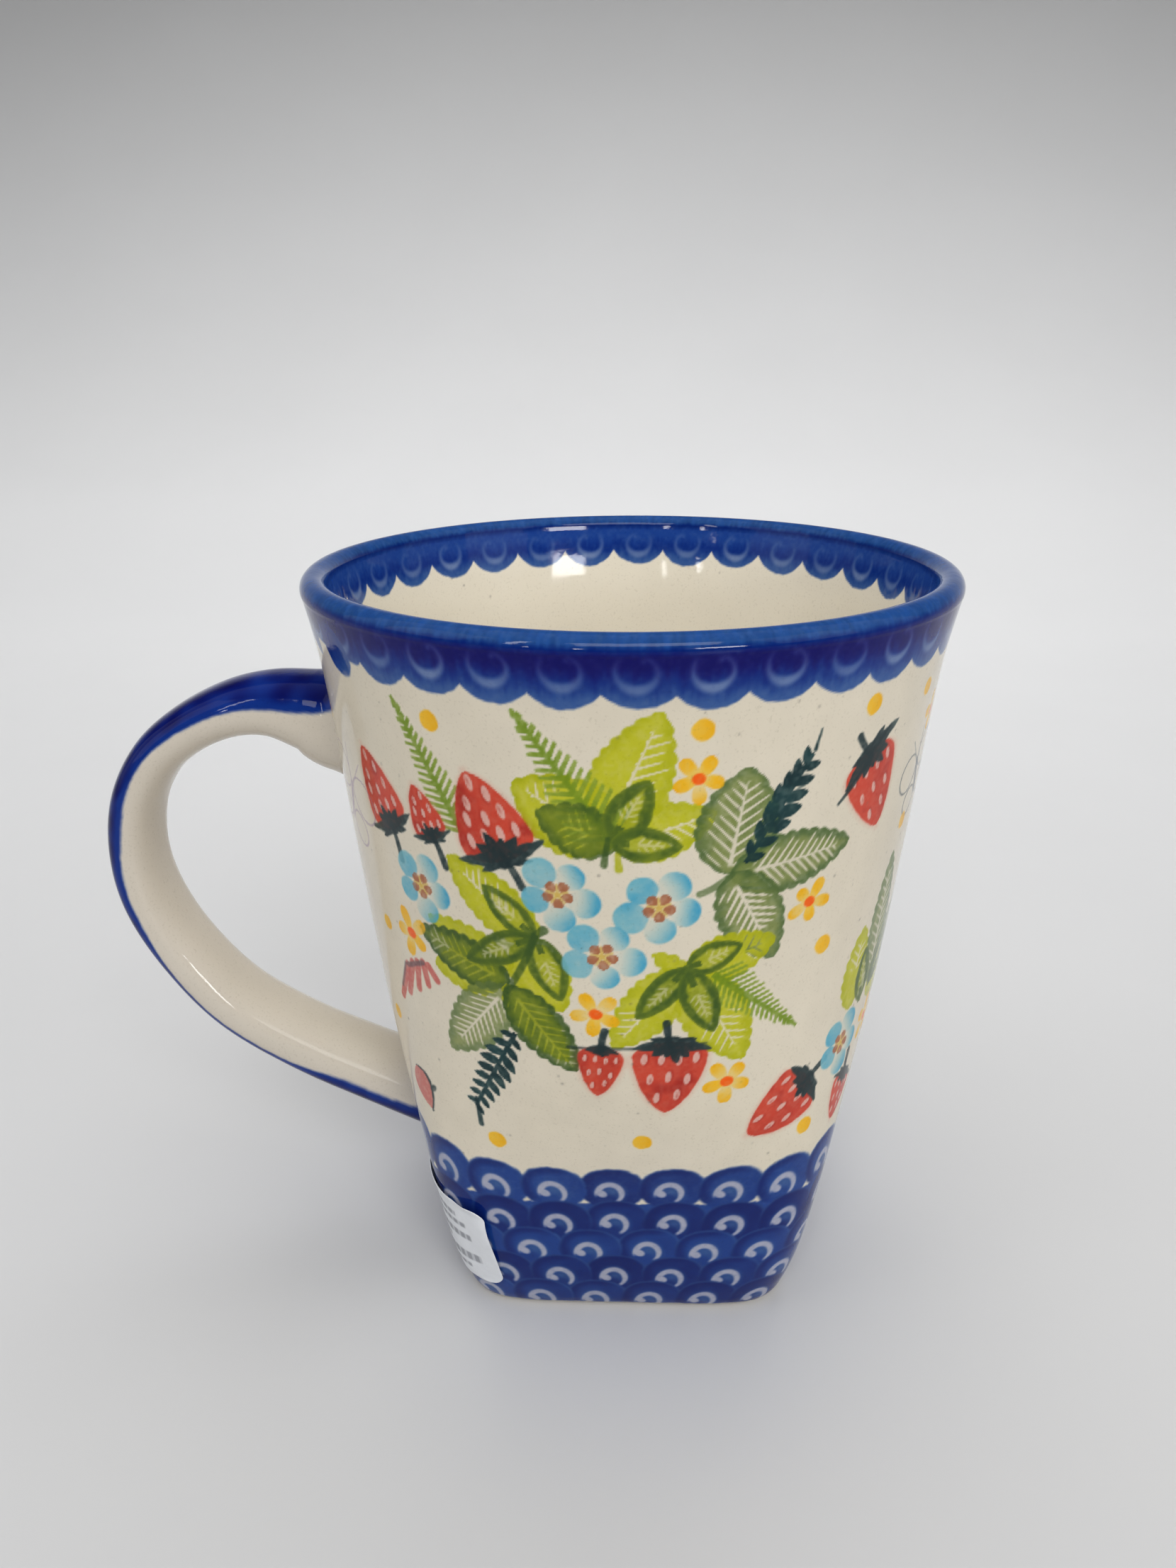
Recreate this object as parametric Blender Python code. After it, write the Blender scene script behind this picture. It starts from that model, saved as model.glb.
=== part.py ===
"""Stoneware mug: a thick cup that rises from a squared foot to a round flared lip, with a strap
handle luted to one flat side and a paper price label on a corner of the foot.

Frame: metres, +Z up. The origin is the centre of the flat foot, the handle points along -X, and
the foot's four flat sides face along X and Y. No piece moves.
"""

import math

import bmesh
import bpy
import numpy as np

MM = 0.001

# Cup: outside.
HEIGHT = 119.0
LIP_RADIUS = 2.0
LIP_OUTER_RADIUS = 49.0
# Height, distance of the flat sides from the axis, distance of the corners from the axis. Where
# the two distances are equal the section is a circle.
OUTSIDE = (
    (0.0, 25.6, 32.4),
    (0.7, 26.9, 33.9),
    (3.0, 28.0, 35.2),
    (10.0, 29.8, 37.5),
    (20.0, 32.1, 39.4),
    (30.0, 34.6, 40.6),
    (40.0, 37.7, 41.1),
    (50.0, 40.4, 41.5),
    (65.0, 42.6, 42.6),
    (85.0, 44.7, 44.7),
    (100.0, 46.1, 46.1),
    (110.0, 47.4, 47.4),
    (117.0, LIP_OUTER_RADIUS, LIP_OUTER_RADIUS),
)
BETWEEN_HEIGHTS = (6.5, 15.0, 25.0, 35.0, 45.0, 57.0, 75.0, 93.0, 114.0)
LIP_TURNS = (30, 60, 90, 120, 150, 180)

# Cup: inside.
WALL = 4.0
FLOOR = 6.0
FLOOR_FILLET = 9.0
FILLET_TURNS = (0, 22, 45, 68, 90)
INSIDE_HEIGHTS = (111.0, 100.0, 85.0, 70.0, 57.0, 47.0, 38.0, 30.0, 22.0)
BEVEL_TOP = 8.0  # below this the outside draws in towards the foot, and the inside doesn't follow

# Handle: stations along the strap's centre line, from the upper root, round the arch, to the
# lower root: distance from the cup's axis, height, half thickness, half width. The first and
# last lie inside the wall, where the strap is cut off.
STRAP = (
    (32.0, 92.5, 9.0, 8.6),
    (45.0, 93.3, 8.1, 8.1),
    (51.0, 95.2, 6.3, 7.6),
    (57.0, 96.3, 5.0, 7.3),
    (63.5, 95.4, 4.3, 7.1),
    (70.5, 92.3, 4.0, 7.0),
    (76.5, 87.4, 3.9, 7.1),
    (80.8, 80.0, 3.8, 7.1),
    (82.3, 71.0, 3.8, 7.1),
    (81.0, 62.0, 4.0, 7.1),
    (76.4, 52.3, 4.2, 7.0),
    (68.5, 42.3, 4.4, 7.2),
    (58.0, 35.0, 4.6, 7.5),
    (46.0, 29.0, 4.9, 7.8),
    (29.0, 21.5, 5.3, 8.3),
)
STRAP_SQUARENESS = 2.4  # 2 is an ellipse, and more is a flatter strap with rounder edges

# Luting slip between the strap's ends and the wall.
GAP = 0.3
SLIP = 0.8
SLIP_SPREAD = 0.7  # how far the slip squeezes out past the strap

# Price label, in the frame of the wall: it is wrapped round the corner between -X and -Y.
LABEL_LOW = 5.6
LABEL_HIGH = 23.4
LABEL_FRONT_ANGLE = -124.5
LABEL_BACK_ANGLE = -158.0
LABEL_CORNER_RADIUS = 2.0
LABEL_THICKNESS = 0.25
LABEL_GAP = 0.3
LABEL_CORNER_TURNS = (90, 60, 30)

# Fineness of the meshes.
AROUND = 72
STRAP_AROUND = 20
STRAP_STEPS = 34
ROOT_STATIONS = 2
ROOT_STEPS = 6
LABEL_ROWS = 7
LABEL_COLUMNS = 19
SHARP_ANGLE = 40

# Finish: linear colour and roughness.
GLAZED_CREAM = ((0.60, 0.54, 0.44), 0.12)
GLAZED_BLUE = ((0.05, 0.10, 0.38), 0.12)
FIRED_SLIP = ((0.52, 0.46, 0.36), 0.3)
LABEL_PAPER = ((0.80, 0.81, 0.82), 0.6)


def smooth(table, at):
    """Values of the columns of a table at a distance, on a curve without overshoot."""
    table = np.array(table)
    x, y = table[:, 0], table[:, 1:]
    steps = np.diff(x)[:, None]
    slopes = np.diff(y, axis=0) / steps
    tangents = np.vstack([slopes[:1], (slopes[:-1] + slopes[1:]) / 2, slopes[-1:]])
    turning = slopes[:-1] * slopes[1:] <= 0
    tangents[1:-1][turning] = 0
    low = np.minimum(np.abs(slopes[:-1]), np.abs(slopes[1:])) * 3
    tangents[1:-1] = np.clip(tangents[1:-1], -low, low)
    i = int(np.clip(np.searchsorted(x, at, side="right") - 1, 0, len(x) - 2))
    t = (at - x[i]) / steps[i, 0]
    rise = t * t * (3 - 2 * t)
    return (
        y[i] * (1 - rise)
        + y[i + 1] * rise
        + steps[i, 0] * (tangents[i] * t * (1 - t) ** 2 - tangents[i + 1] * t * t * (1 - t))
    )


def ring(side, corner, height, angles=None):
    """Points of a rounded-square section: a superellipse set by its sides and corners."""
    if angles is None:
        angles = np.arange(AROUND) * math.tau / AROUND
    power = math.log(2) / math.log(math.sqrt(2) * side / corner)
    spread = np.abs(np.cos(angles)) ** power + np.abs(np.sin(angles)) ** power
    reach = side / spread ** (1 / power)
    level = np.full_like(angles, height)
    return np.stack([reach * np.cos(angles), reach * np.sin(angles), level], 1)


def outside(height, offset=0.0):
    """Side and corner distances of the cup's outer wall, moved out by an offset."""
    side, corner = smooth(OUTSIDE, height)
    return side + offset, corner + offset


def outer_rings(offset=0.0):
    heights = [row[0] for row in OUTSIDE]
    return [ring(*outside(z, offset), z) for z in sorted([*heights, *BETWEEN_HEIGHTS])]


def lip_rings():
    centre_radius = LIP_OUTER_RADIUS - LIP_RADIUS
    centre_height = HEIGHT - LIP_RADIUS
    rings = []
    for turn in LIP_TURNS:
        angle = math.radians(turn)
        radius = centre_radius + LIP_RADIUS * math.cos(angle)
        rings.append(ring(radius, radius, centre_height + LIP_RADIUS * math.sin(angle)))
    return rings


def inner_rings():
    """Down the inside of the wall and round the fillet to the floor."""
    rings = []
    top = FLOOR + FLOOR_FILLET
    for z in INSIDE_HEIGHTS:
        rings.append(ring(*outside(z, -WALL), z))
    for turn in FILLET_TURNS:
        angle = math.radians(turn)
        z = top - FLOOR_FILLET * math.sin(angle)
        side, corner = outside(max(z, BEVEL_TOP), -WALL)
        shrink = 1 - FLOOR_FILLET * (1 - math.cos(angle)) / side
        rings.append(ring(side * shrink, corner * shrink, z))
    return rings


def skin(name, rings, first_centre=None, last_centre=None):
    """A closed mesh through a stack of rings, in millimetres, with a fan or an n-gon at each end."""
    shape = bmesh.new()
    rows = [[shape.verts.new(point * MM) for point in points] for points in rings]
    for low, high in zip(rows, rows[1:]):
        count = len(low)
        for i in range(count):
            j = (i + 1) % count
            shape.faces.new((low[i], low[j], high[j], high[i]))
    for row, centre in ((rows[0], first_centre), (rows[-1], last_centre)):
        if centre is None:
            shape.faces.new(row)
            continue
        hub = shape.verts.new(np.array(centre) * MM)
        for i in range(len(row)):
            shape.faces.new((row[i], row[(i + 1) % len(row)], hub))
    bmesh.ops.recalc_face_normals(shape, faces=shape.faces)
    return to_object(name, shape)


def to_object(name, shape):
    mesh = bpy.data.meshes.new(name)
    shape.to_mesh(mesh)
    shape.free()
    mesh.shade_smooth()
    mesh.set_sharp_from_angle(angle=math.radians(SHARP_ANGLE))
    piece = bpy.data.objects.new(name, mesh)
    bpy.context.scene.collection.objects.link(piece)
    return piece


def cup_body():
    rings = outer_rings() + lip_rings() + inner_rings()
    return skin("cup_body", rings, (0, 0, 0), (0, 0, FLOOR))


def wall_envelope(name, offset):
    """Helper: the cup's outer wall, filled solid and moved out by an offset."""
    envelope = skin(name, outer_rings(offset))
    envelope.hide_render = True
    envelope.display_type = "WIRE"
    return envelope


def strap_sections(first, last, steps, spread=0.0):
    """Sections of the strap between two stations, on a smooth curve through all of them."""
    stations = [(i, *row) for i, row in enumerate(STRAP)]
    places = [smooth_through(stations, t) for t in np.linspace(first, last, steps + 1)]
    path = np.array([place[:2] for place in places])
    heading = np.gradient(path, axis=0)
    heading /= np.linalg.norm(heading, axis=1)[:, None]
    angles = np.arange(STRAP_AROUND) * math.tau / STRAP_AROUND
    power = 2 / STRAP_SQUARENESS
    thick = np.sign(np.cos(angles)) * np.abs(np.cos(angles)) ** power
    wide = np.sign(np.sin(angles)) * np.abs(np.sin(angles)) ** power
    rings = []
    for place, (ahead, rise) in zip(places, heading):
        reach, height, half_thickness, half_width = place
        out = (half_thickness + spread) * thick
        side = (half_width + spread) * wide
        rings.append(np.stack([-(reach - out * rise), side, height + out * ahead], 1))
    return rings


def smooth_through(stations, at):
    """A point of the Catmull-Rom curve through the stations."""
    table = np.array(stations)[:, 1:]
    i = int(np.clip(math.floor(at), 0, len(table) - 2))
    t = at - i
    before = table[max(i - 1, 0)]
    here, there = table[i], table[i + 1]
    after = table[min(i + 2, len(table) - 1)]
    return 0.5 * (
        2 * here
        + (there - before) * t
        + (2 * before - 5 * here + 4 * there - after) * t**2
        + (3 * here - before - 3 * there + after) * t**3
    )


def boolean(piece, cutter, operation):
    cut = piece.modifiers.new(operation.title(), "BOOLEAN")
    cut.object = cutter
    cut.operation = operation
    cut.solver = "EXACT"


def handle():
    strap = skin("handle", strap_sections(0, len(STRAP) - 1, STRAP_STEPS))
    boolean(strap, wall_envelope("handle_wall_cutter", 2 * GAP + SLIP), "DIFFERENCE")
    return strap


def slip_joint(name, first, near_wall, far_wall):
    """The pad of fired slip that sticks one end of the strap to the wall."""
    pad = skin(name, strap_sections(first, first + ROOT_STATIONS, ROOT_STEPS, SLIP_SPREAD))
    boolean(pad, far_wall, "INTERSECT")
    boolean(pad, near_wall, "DIFFERENCE")
    return pad


def price_label():
    """A thin rounded rectangle that follows the wall round a corner of the foot."""
    middle = (LABEL_LOW + LABEL_HIGH) / 2
    half = (LABEL_HIGH - LABEL_LOW) / 2
    straight = half - LABEL_CORNER_RADIUS
    corner_turns = [math.radians(turn) for turn in LABEL_CORNER_TURNS]
    rises = [straight + LABEL_CORNER_RADIUS * math.sin(turn) for turn in corner_turns]
    level_rows = list(np.linspace(-straight, straight, LABEL_ROWS))
    rows = [-rise for rise in rises] + level_rows + rises[::-1]
    columns = np.linspace(-1, 1, LABEL_COLUMNS)
    centre_angle = math.radians((LABEL_FRONT_ANGLE + LABEL_BACK_ANGLE) / 2)
    half_angle = math.radians((LABEL_FRONT_ANGLE - LABEL_BACK_ANGLE) / 2)
    shape = bmesh.new()
    layers = []
    for offset in (LABEL_GAP, LABEL_GAP + LABEL_THICKNESS):
        layer = []
        for rise in rows:
            over = max(abs(rise) - straight, 0)
            trim = LABEL_CORNER_RADIUS - math.sqrt(LABEL_CORNER_RADIUS**2 - over**2)
            side, corner = outside(middle + rise, offset)
            reach = half_angle - trim / corner
            points = ring(side, corner, middle + rise, centre_angle + columns * reach)
            layer.append([shape.verts.new(point * MM) for point in points])
        layers.append(layer)
    inner, outer = layers
    for layer in layers:
        for low, high in zip(layer, layer[1:]):
            for i in range(len(columns) - 1):
                shape.faces.new((low[i], low[i + 1], high[i + 1], high[i]))
    edge = [
        (inner[0], outer[0]),
        (inner[-1], outer[-1]),
        ([row[0] for row in inner], [row[0] for row in outer]),
        ([row[-1] for row in inner], [row[-1] for row in outer]),
    ]
    for under, over in edge:
        for i in range(len(under) - 1):
            shape.faces.new((under[i], under[i + 1], over[i + 1], over[i]))
    bmesh.ops.recalc_face_normals(shape, faces=shape.faces)
    return to_object("price_label", shape)


def material(name, colour, roughness):
    """A plain non-metal Principled material in linear colour."""
    made = bpy.data.materials.new(name)
    made.use_nodes = True
    shader = made.node_tree.nodes["Principled BSDF"]
    shader.inputs["Base Color"].default_value = (*colour, 1.0)
    shader.inputs["Roughness"].default_value = roughness
    shader.inputs["Metallic"].default_value = 0.0
    made.diffuse_color = (*colour, 1.0)
    return made


def build():
    for old in list(bpy.data.objects):
        bpy.data.objects.remove(old)
    near_wall = wall_envelope("slip_near_wall", GAP)
    far_wall = wall_envelope("slip_far_wall", GAP + SLIP)
    lower_root = len(STRAP) - 1 - ROOT_STATIONS
    pieces = (
        (cup_body(), GLAZED_CREAM),
        (handle(), GLAZED_BLUE),
        (slip_joint("upper_slip_joint", 0, near_wall, far_wall), FIRED_SLIP),
        (slip_joint("lower_slip_joint", lower_root, near_wall, far_wall), FIRED_SLIP),
        (price_label(), LABEL_PAPER),
    )
    for piece, (colour, roughness) in pieces:
        piece.data.materials.append(material(piece.name, colour, roughness))


build()
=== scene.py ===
"""Looks for a folk-decorated stoneware mug: glazed and painted walls, strap handle and paper label.

Lengths are in millimetres while shapes and paintings are worked out, and in metres in Blender.
A place on the cup is (angle in degrees round the axis, height above the table). The handle is at
180 and the front of the cup is at -90.
"""

import math

import bpy
import numpy as np
from mathutils import Matrix, Vector


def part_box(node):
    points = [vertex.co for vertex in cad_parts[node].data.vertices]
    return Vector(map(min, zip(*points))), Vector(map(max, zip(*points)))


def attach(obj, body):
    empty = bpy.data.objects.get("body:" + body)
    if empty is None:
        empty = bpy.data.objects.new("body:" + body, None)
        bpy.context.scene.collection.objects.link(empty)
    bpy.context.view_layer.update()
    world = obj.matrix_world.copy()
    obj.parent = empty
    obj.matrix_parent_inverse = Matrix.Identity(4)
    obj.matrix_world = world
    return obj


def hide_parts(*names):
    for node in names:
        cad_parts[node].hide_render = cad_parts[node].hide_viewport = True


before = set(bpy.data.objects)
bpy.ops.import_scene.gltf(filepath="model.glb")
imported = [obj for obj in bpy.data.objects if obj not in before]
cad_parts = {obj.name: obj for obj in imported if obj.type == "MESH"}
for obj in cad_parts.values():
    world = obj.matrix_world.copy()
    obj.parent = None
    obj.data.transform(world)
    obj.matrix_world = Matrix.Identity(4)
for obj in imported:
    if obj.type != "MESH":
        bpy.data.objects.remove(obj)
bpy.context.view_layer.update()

MM = 0.001

# ---------------------------------------------------------------- sizes, in millimetres

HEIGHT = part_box("cup_body")[1].z / MM
LIP_OUTER_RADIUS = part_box("cup_body")[1].x / MM
LIP_RADIUS = 2.0
WALL = 4.0
FLOOR = 6.0
FLOOR_FILLET = 9.0
FLOOR_DISH = 0.4  # how far the floor dips to its middle
NEARLY_CLOSED = 0.0005  # share of the floor's width left open at its middle
FOOT_LINE = 0.9  # the glaze stops this far above the table
GLAZE = 0.12  # how far the glaze stands proud of bare clay
# The glaze's rolled lower edge: height over the foot line, and how far out of the wall's face.
GLAZE_EDGE = ((0.25, -0.3), (0.05, -0.12), (0.0, -0.05), (0.08, -0.01))
# Height, distance of the flat sides from the axis, distance of the corners from the axis.
OUTSIDE = (
    (0.0, 25.6, 32.4),
    (0.7, 26.9, 33.9),
    (3.0, 28.0, 35.2),
    (10.0, 29.8, 37.5),
    (20.0, 32.1, 39.4),
    (30.0, 34.6, 40.6),
    (40.0, 37.7, 41.1),
    (50.0, 40.4, 41.5),
    (65.0, 42.6, 42.6),
    (85.0, 44.7, 44.7),
    (100.0, 46.1, 46.1),
    (110.0, 47.4, 47.4),
    (117.0, LIP_OUTER_RADIUS, LIP_OUTER_RADIUS),
)
# Distance from the axis, height, half thickness and half width of the strap.
STRAP = (
    (32.0, 92.5, 9.0, 8.6),
    (45.0, 93.3, 8.1, 8.1),
    (51.0, 95.2, 6.3, 7.6),
    (57.0, 96.3, 5.0, 7.3),
    (63.5, 95.4, 4.3, 7.1),
    (70.5, 92.3, 4.0, 7.0),
    (76.5, 87.4, 3.9, 7.1),
    (80.8, 80.0, 3.8, 7.1),
    (82.3, 71.0, 3.8, 7.1),
    (81.0, 62.0, 4.0, 7.1),
    (76.4, 52.3, 4.2, 7.0),
    (68.5, 42.3, 4.4, 7.2),
    (58.0, 35.0, 4.6, 7.5),
    (46.0, 29.0, 4.9, 7.8),
    (29.0, 21.5, 5.3, 8.3),
)
STRAP_SQUARENESS = 2.4
# Station along the strap, and how far round from its outer face the blue stripe reaches, in degrees.
STRIPE = (
    (0.9, 60),
    (1.6, 70),
    (2.2, 79),
    (3.0, 84),
    (5.0, 82),
    (7.5, 88),
    (9.0, 84),
    (10.0, 75),
    (11.0, 69),
    (12.0, 74),
    (12.8, 86),
    (14.0, 97),
)
ROOT_FILLET = 1.3  # the slip wiped round the strap's roots
ROOT_DEPTH = 1.0  # how far the strap's roots reach into the wall

COLUMNS = 1400
ROW_STEP = 0.23
COARSE_STEP = 1.5
LINING_FINE_LOW = 104.0  # below this the lining is plain, and its rows are coarse

# ---------------------------------------------------------------- colours, as sRGB fractions

CREAM = (0.905, 0.867, 0.790)
LINING = (0.945, 0.915, 0.845)
CLAY = (0.80, 0.755, 0.70)
LIP_BLUE = (0.115, 0.275, 0.53)
LIP_LOW = (0.0, 0.12, 0.44)
BAND_BLUE = (0.20, 0.34, 0.60)
BAND_MID = (0.03, 0.16, 0.50)
# The lining band's deepest blue: the band's own cobalt, made much lighter than BAND_DARK as a painted
# reflection of the window lights.
LINING_BLUE_PAINTED_REFLECTION = (0.10, 0.25, 0.58)
BAND_DARK = (0.0, 0.0, 0.375)
SWIRL_BLUE = (0.47, 0.55, 0.71)
FOOT_BLUE = (0.10, 0.245, 0.545)
FOOT_DARK = (0.0, 0.09, 0.38)
FOOT_LIGHT = (0.24, 0.38, 0.60)
FOOT_EDGE = (0.29, 0.44, 0.64)
FOOT_SWIRL = (0.72, 0.72, 0.78)
# Cream made a little darker than CREAM: painted shade on the handle, not a different glaze.
HANDLE_CREAM_PAINTED_SHADE = (0.85, 0.815, 0.76)
HANDLE_BLUE = (0.055, 0.185, 0.52)
HANDLE_DARK = (0.0, 0.02, 0.31)
RED = (0.835, 0.29, 0.21)
RED_DARK = (0.64, 0.15, 0.12)
SEED = (0.91, 0.76, 0.715)
CALYX = (0.12, 0.19, 0.205)
CALYX_THIN = (0.26, 0.34, 0.33)
LIME = (0.765, 0.765, 0.14)
LIME_EDGE = (0.665, 0.68, 0.01)
LEAF_GREEN = (0.42, 0.495, 0.13)
LEAF_DARK = (0.22, 0.33, 0.13)
OLIVE = (0.48, 0.535, 0.28)
OLIVE_DARK = (0.30, 0.40, 0.20)
LIME_LEAF = (LIME, LIME_EDGE)
OLIVE_LEAF = (OLIVE, OLIVE_DARK)
DARK_LEAF = (LEAF_GREEN, LEAF_DARK)
FERN = (0.53, 0.62, 0.20)
FERN_DARK = (0.43, 0.55, 0.10)
SPRIG = (0.05, 0.16, 0.18)
SPRIG_THIN = (0.12, 0.27, 0.28)
PETAL_BLUE = (0.46, 0.73, 0.79)
PETAL_DEEP = (0.26, 0.63, 0.78)
CENTRE_BROWN = (0.66, 0.39, 0.26)
CENTRE_YELLOW = (0.85, 0.72, 0.36)
PETAL_YELLOW = (0.98, 0.76, 0.16)
DOT_YELLOW = (0.96, 0.69, 0.03)
ORANGE = (1.0, 0.36, 0.03)
MELON_RED = (0.79, 0.37, 0.335)
INK = (0.24, 0.29, 0.33)
WING = (0.60, 0.50, 0.62)
PAPER = (0.925, 0.935, 0.95)
PRINT = (0.50, 0.51, 0.54)
SWEEP = (0.985, 0.985, 0.985)


# ---------------------------------------------------------------- small maths


def blend(low, high, share):
    return low + (high - low) * share


def ease(low, high, value):
    """0 below low, 1 above high, and a smooth step between."""
    t = np.clip((value - low) / (high - low), 0, 1)
    return t * t * (3 - 2 * t)


def inside(distance, edge, soft):
    """1 where the distance is less than the edge, fading out over a soft width."""
    return 1 - ease(edge - soft / 2, edge + soft / 2, distance)


def bump(value, width):
    return np.exp(-((value / width) ** 2))


def turned(x, y, angle):
    """Distances along and across a direction at an angle, in radians, from x towards y."""
    c, s = math.cos(angle), math.sin(angle)
    return x * c + y * s, y * c - x * s


def shades(light, dark, share):
    """A colour for each point, from light to dark by a share."""
    return blend(np.array(light), np.array(dark), np.clip(share, 0, 1)[..., None])


def linear(colour):
    """sRGB fractions as linear light."""
    colour = np.clip(np.asarray(colour, float), 0, 1)
    return np.where(colour <= 0.04045, colour / 12.92, ((colour + 0.055) / 1.055) ** 2.4)


def noise(points, scale, seed):
    """Smooth noise from 0 to 1 at points, with features of about the scale."""
    size = 48
    lattice = np.random.default_rng(seed).random((size, size, size)).astype(np.float32)
    place = points / scale + 1000.0
    cell = np.floor(place).astype(int)
    t = (place - cell).astype(np.float32)
    t = t * t * (3 - 2 * t)
    total = np.zeros(points.shape[:-1], np.float32)
    for corner in range(8):
        step = [(corner >> k) & 1 for k in range(3)]
        weight = np.ones_like(total)
        for k in range(3):
            weight *= t[..., k] if step[k] else 1 - t[..., k]
        ix, iy, iz = ((cell[..., k] + step[k]) % size for k in range(3))
        total += weight * lattice[ix, iy, iz]
    return total


# ---------------------------------------------------------------- the cup's shape


def fine_profile():
    """Heights at a fine step, with side and corner distances drawn through OUTSIDE and eased."""
    table = np.array(OUTSIDE)
    z = np.arange(0, table[-1, 0] + 0.1, 0.1)
    columns = [z]
    for k in (1, 2):
        line = np.interp(z, table[:, 0], table[:, k])
        for width in (4.0, 2.5):
            reach = np.clip(np.minimum(z - 1.2, z[-1] - z), 0.05, width)
            low = np.interp(z - reach, z, line)
            high = np.interp(z + reach, z, line)
            near_low = np.interp(z - reach / 2, z, line)
            near_high = np.interp(z + reach / 2, z, line)
            line = (low + high + 2 * near_low + 2 * near_high + 2 * line) / 8
        columns.append(line)
    return columns


PROFILE = fine_profile()


def outside(z, offset=0.0):
    """Side and corner distances at heights, moved out by an offset."""
    side = np.interp(z, PROFILE[0], PROFILE[1]) + offset
    corner = np.interp(z, PROFILE[0], PROFILE[2]) + offset
    return side, corner


def ring_reach(side, corner, angles):
    """Distance from the axis to a rounded-square section, a superellipse, at each angle."""
    corner = np.minimum(corner, side * 1.39)
    power = np.log(2) / np.log(math.sqrt(2) * side / corner)
    c, s = np.abs(np.cos(angles)), np.abs(np.sin(angles))
    return side / (c**power + s**power) ** (1 / power)


def rings(sides, corners, heights, angles):
    """Points of a stack of sections, as rows by angles by xyz."""
    sides, corners, heights = (np.asarray(v, float)[:, None] for v in (sides, corners, heights))
    reach = ring_reach(sides, corners, angles[None, :])
    x, y = reach * np.cos(angles), reach * np.sin(angles)
    return np.stack([x, y, np.broadcast_to(heights, x.shape)], -1)


def wall_reach(angles, heights, offset=0.0):
    side, corner = outside(heights, offset)
    return ring_reach(side, corner, angles)


def lip_arc(first, last, steps):
    """Radii and heights round the lip's rounded top, from outside to inside."""
    turn = np.radians(np.linspace(first, last, steps))
    radius = LIP_OUTER_RADIUS - LIP_RADIUS + LIP_RADIUS * np.cos(turn)
    return radius, HEIGHT - LIP_RADIUS + LIP_RADIUS * np.sin(turn)


def outer_rows():
    """Side, corner and height of each row of the outer glaze, from the foot to the lip's top."""
    rows = [(*outside(FOOT_LINE + lift, offset), FOOT_LINE + lift) for lift, offset in GLAZE_EDGE]
    for z in np.arange(FOOT_LINE + 0.25, HEIGHT - LIP_RADIUS - 0.5, ROW_STEP):
        rows.append((*outside(z), z))
    rows += [(r, r, z) for r, z in zip(*lip_arc(-12, 90, 25))]
    return np.array(rows)


def inner_rows():
    """The same for the inner glaze, from the lip's top down the wall to the middle of the floor."""
    rows = [(r, r, z) for r, z in zip(*lip_arc(90, 167, 19))]
    for z in np.arange(HEIGHT - LIP_RADIUS - 0.1, LINING_FINE_LOW, -ROW_STEP):
        rows.append((*outside(z, -WALL), z))
    top = FLOOR + FLOOR_FILLET
    for z in np.arange(LINING_FINE_LOW, top, -COARSE_STEP):
        rows.append((*outside(z, -WALL), z))
    for turn in np.radians(np.linspace(0, 90, 14)):
        z = top - FLOOR_FILLET * math.sin(turn)
        side, corner = outside(z, -WALL)
        shrink = 1 - FLOOR_FILLET * (1 - math.cos(turn)) / side
        rows.append((side * shrink, corner * shrink, z))
    side, corner = rows[-1][0], rows[-1][1]
    for share in (0.9, 0.75, 0.5, 0.25, 0.06, NEARLY_CLOSED):
        rows.append((side * share, corner * share, FLOOR - FLOOR_DISH * (1 - share)))
    return np.array(rows)


# ---------------------------------------------------------------- meshes


def grid_normals(points, closed):
    """Unit normals of a grid of points, rows by columns."""
    if closed:
        along = np.roll(points, -1, axis=1) - np.roll(points, 1, axis=1)
    else:
        along = np.gradient(points, axis=1)
    across = np.gradient(points, axis=0)
    normals = np.cross(along, across)
    return normals / np.maximum(np.linalg.norm(normals, axis=-1, keepdims=True), 1e-12)


def grid_object(name, points, normals=None, colour=None, closed=True):
    """A smooth mesh object through a grid of points in millimetres, with its paint in an attribute."""
    rows, columns = points.shape[:2]
    index = np.arange(rows * columns).reshape(rows, columns)
    ahead = np.roll(index, -1, axis=1)
    if not closed:
        index, ahead = index[:, :-1], index[:, 1:]
    quads = np.stack([index[:-1], ahead[:-1], ahead[1:], index[1:]], -1).reshape(-1, 4)
    mesh = bpy.data.meshes.new(name)
    mesh.vertices.add(rows * columns)
    mesh.vertices.foreach_set("co", (points.reshape(-1, 3) * MM).astype(np.float32).ravel())
    mesh.loops.add(quads.size)
    mesh.loops.foreach_set("vertex_index", quads.ravel().astype(np.int32))
    mesh.polygons.add(len(quads))
    mesh.polygons.foreach_set("loop_start", np.arange(0, quads.size, 4, dtype=np.int32))
    mesh.update(calc_edges=True)
    mesh.validate()
    mesh.shade_smooth()
    if colour is not None:
        paint = mesh.color_attributes.new("paint", "FLOAT_COLOR", "POINT")
        rgba = np.ones((rows * columns, 4), np.float32)
        rgba[:, :3] = linear(colour.reshape(-1, 3))
        paint.data.foreach_set("color", rgba.ravel())
    if normals is not None:
        mesh.normals_split_custom_set_from_vertices(normals.reshape(-1, 3))
    piece = bpy.data.objects.new(name, mesh)
    bpy.context.scene.collection.objects.link(piece)
    return piece


def run_lengths(points):
    """Distance of each row of a grid from its first, along the surface."""
    steps = np.linalg.norm(np.diff(points, axis=0), axis=-1).mean(1)
    return np.concatenate([[0], np.cumsum(steps)])


# ---------------------------------------------------------------- painting on the wall


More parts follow.
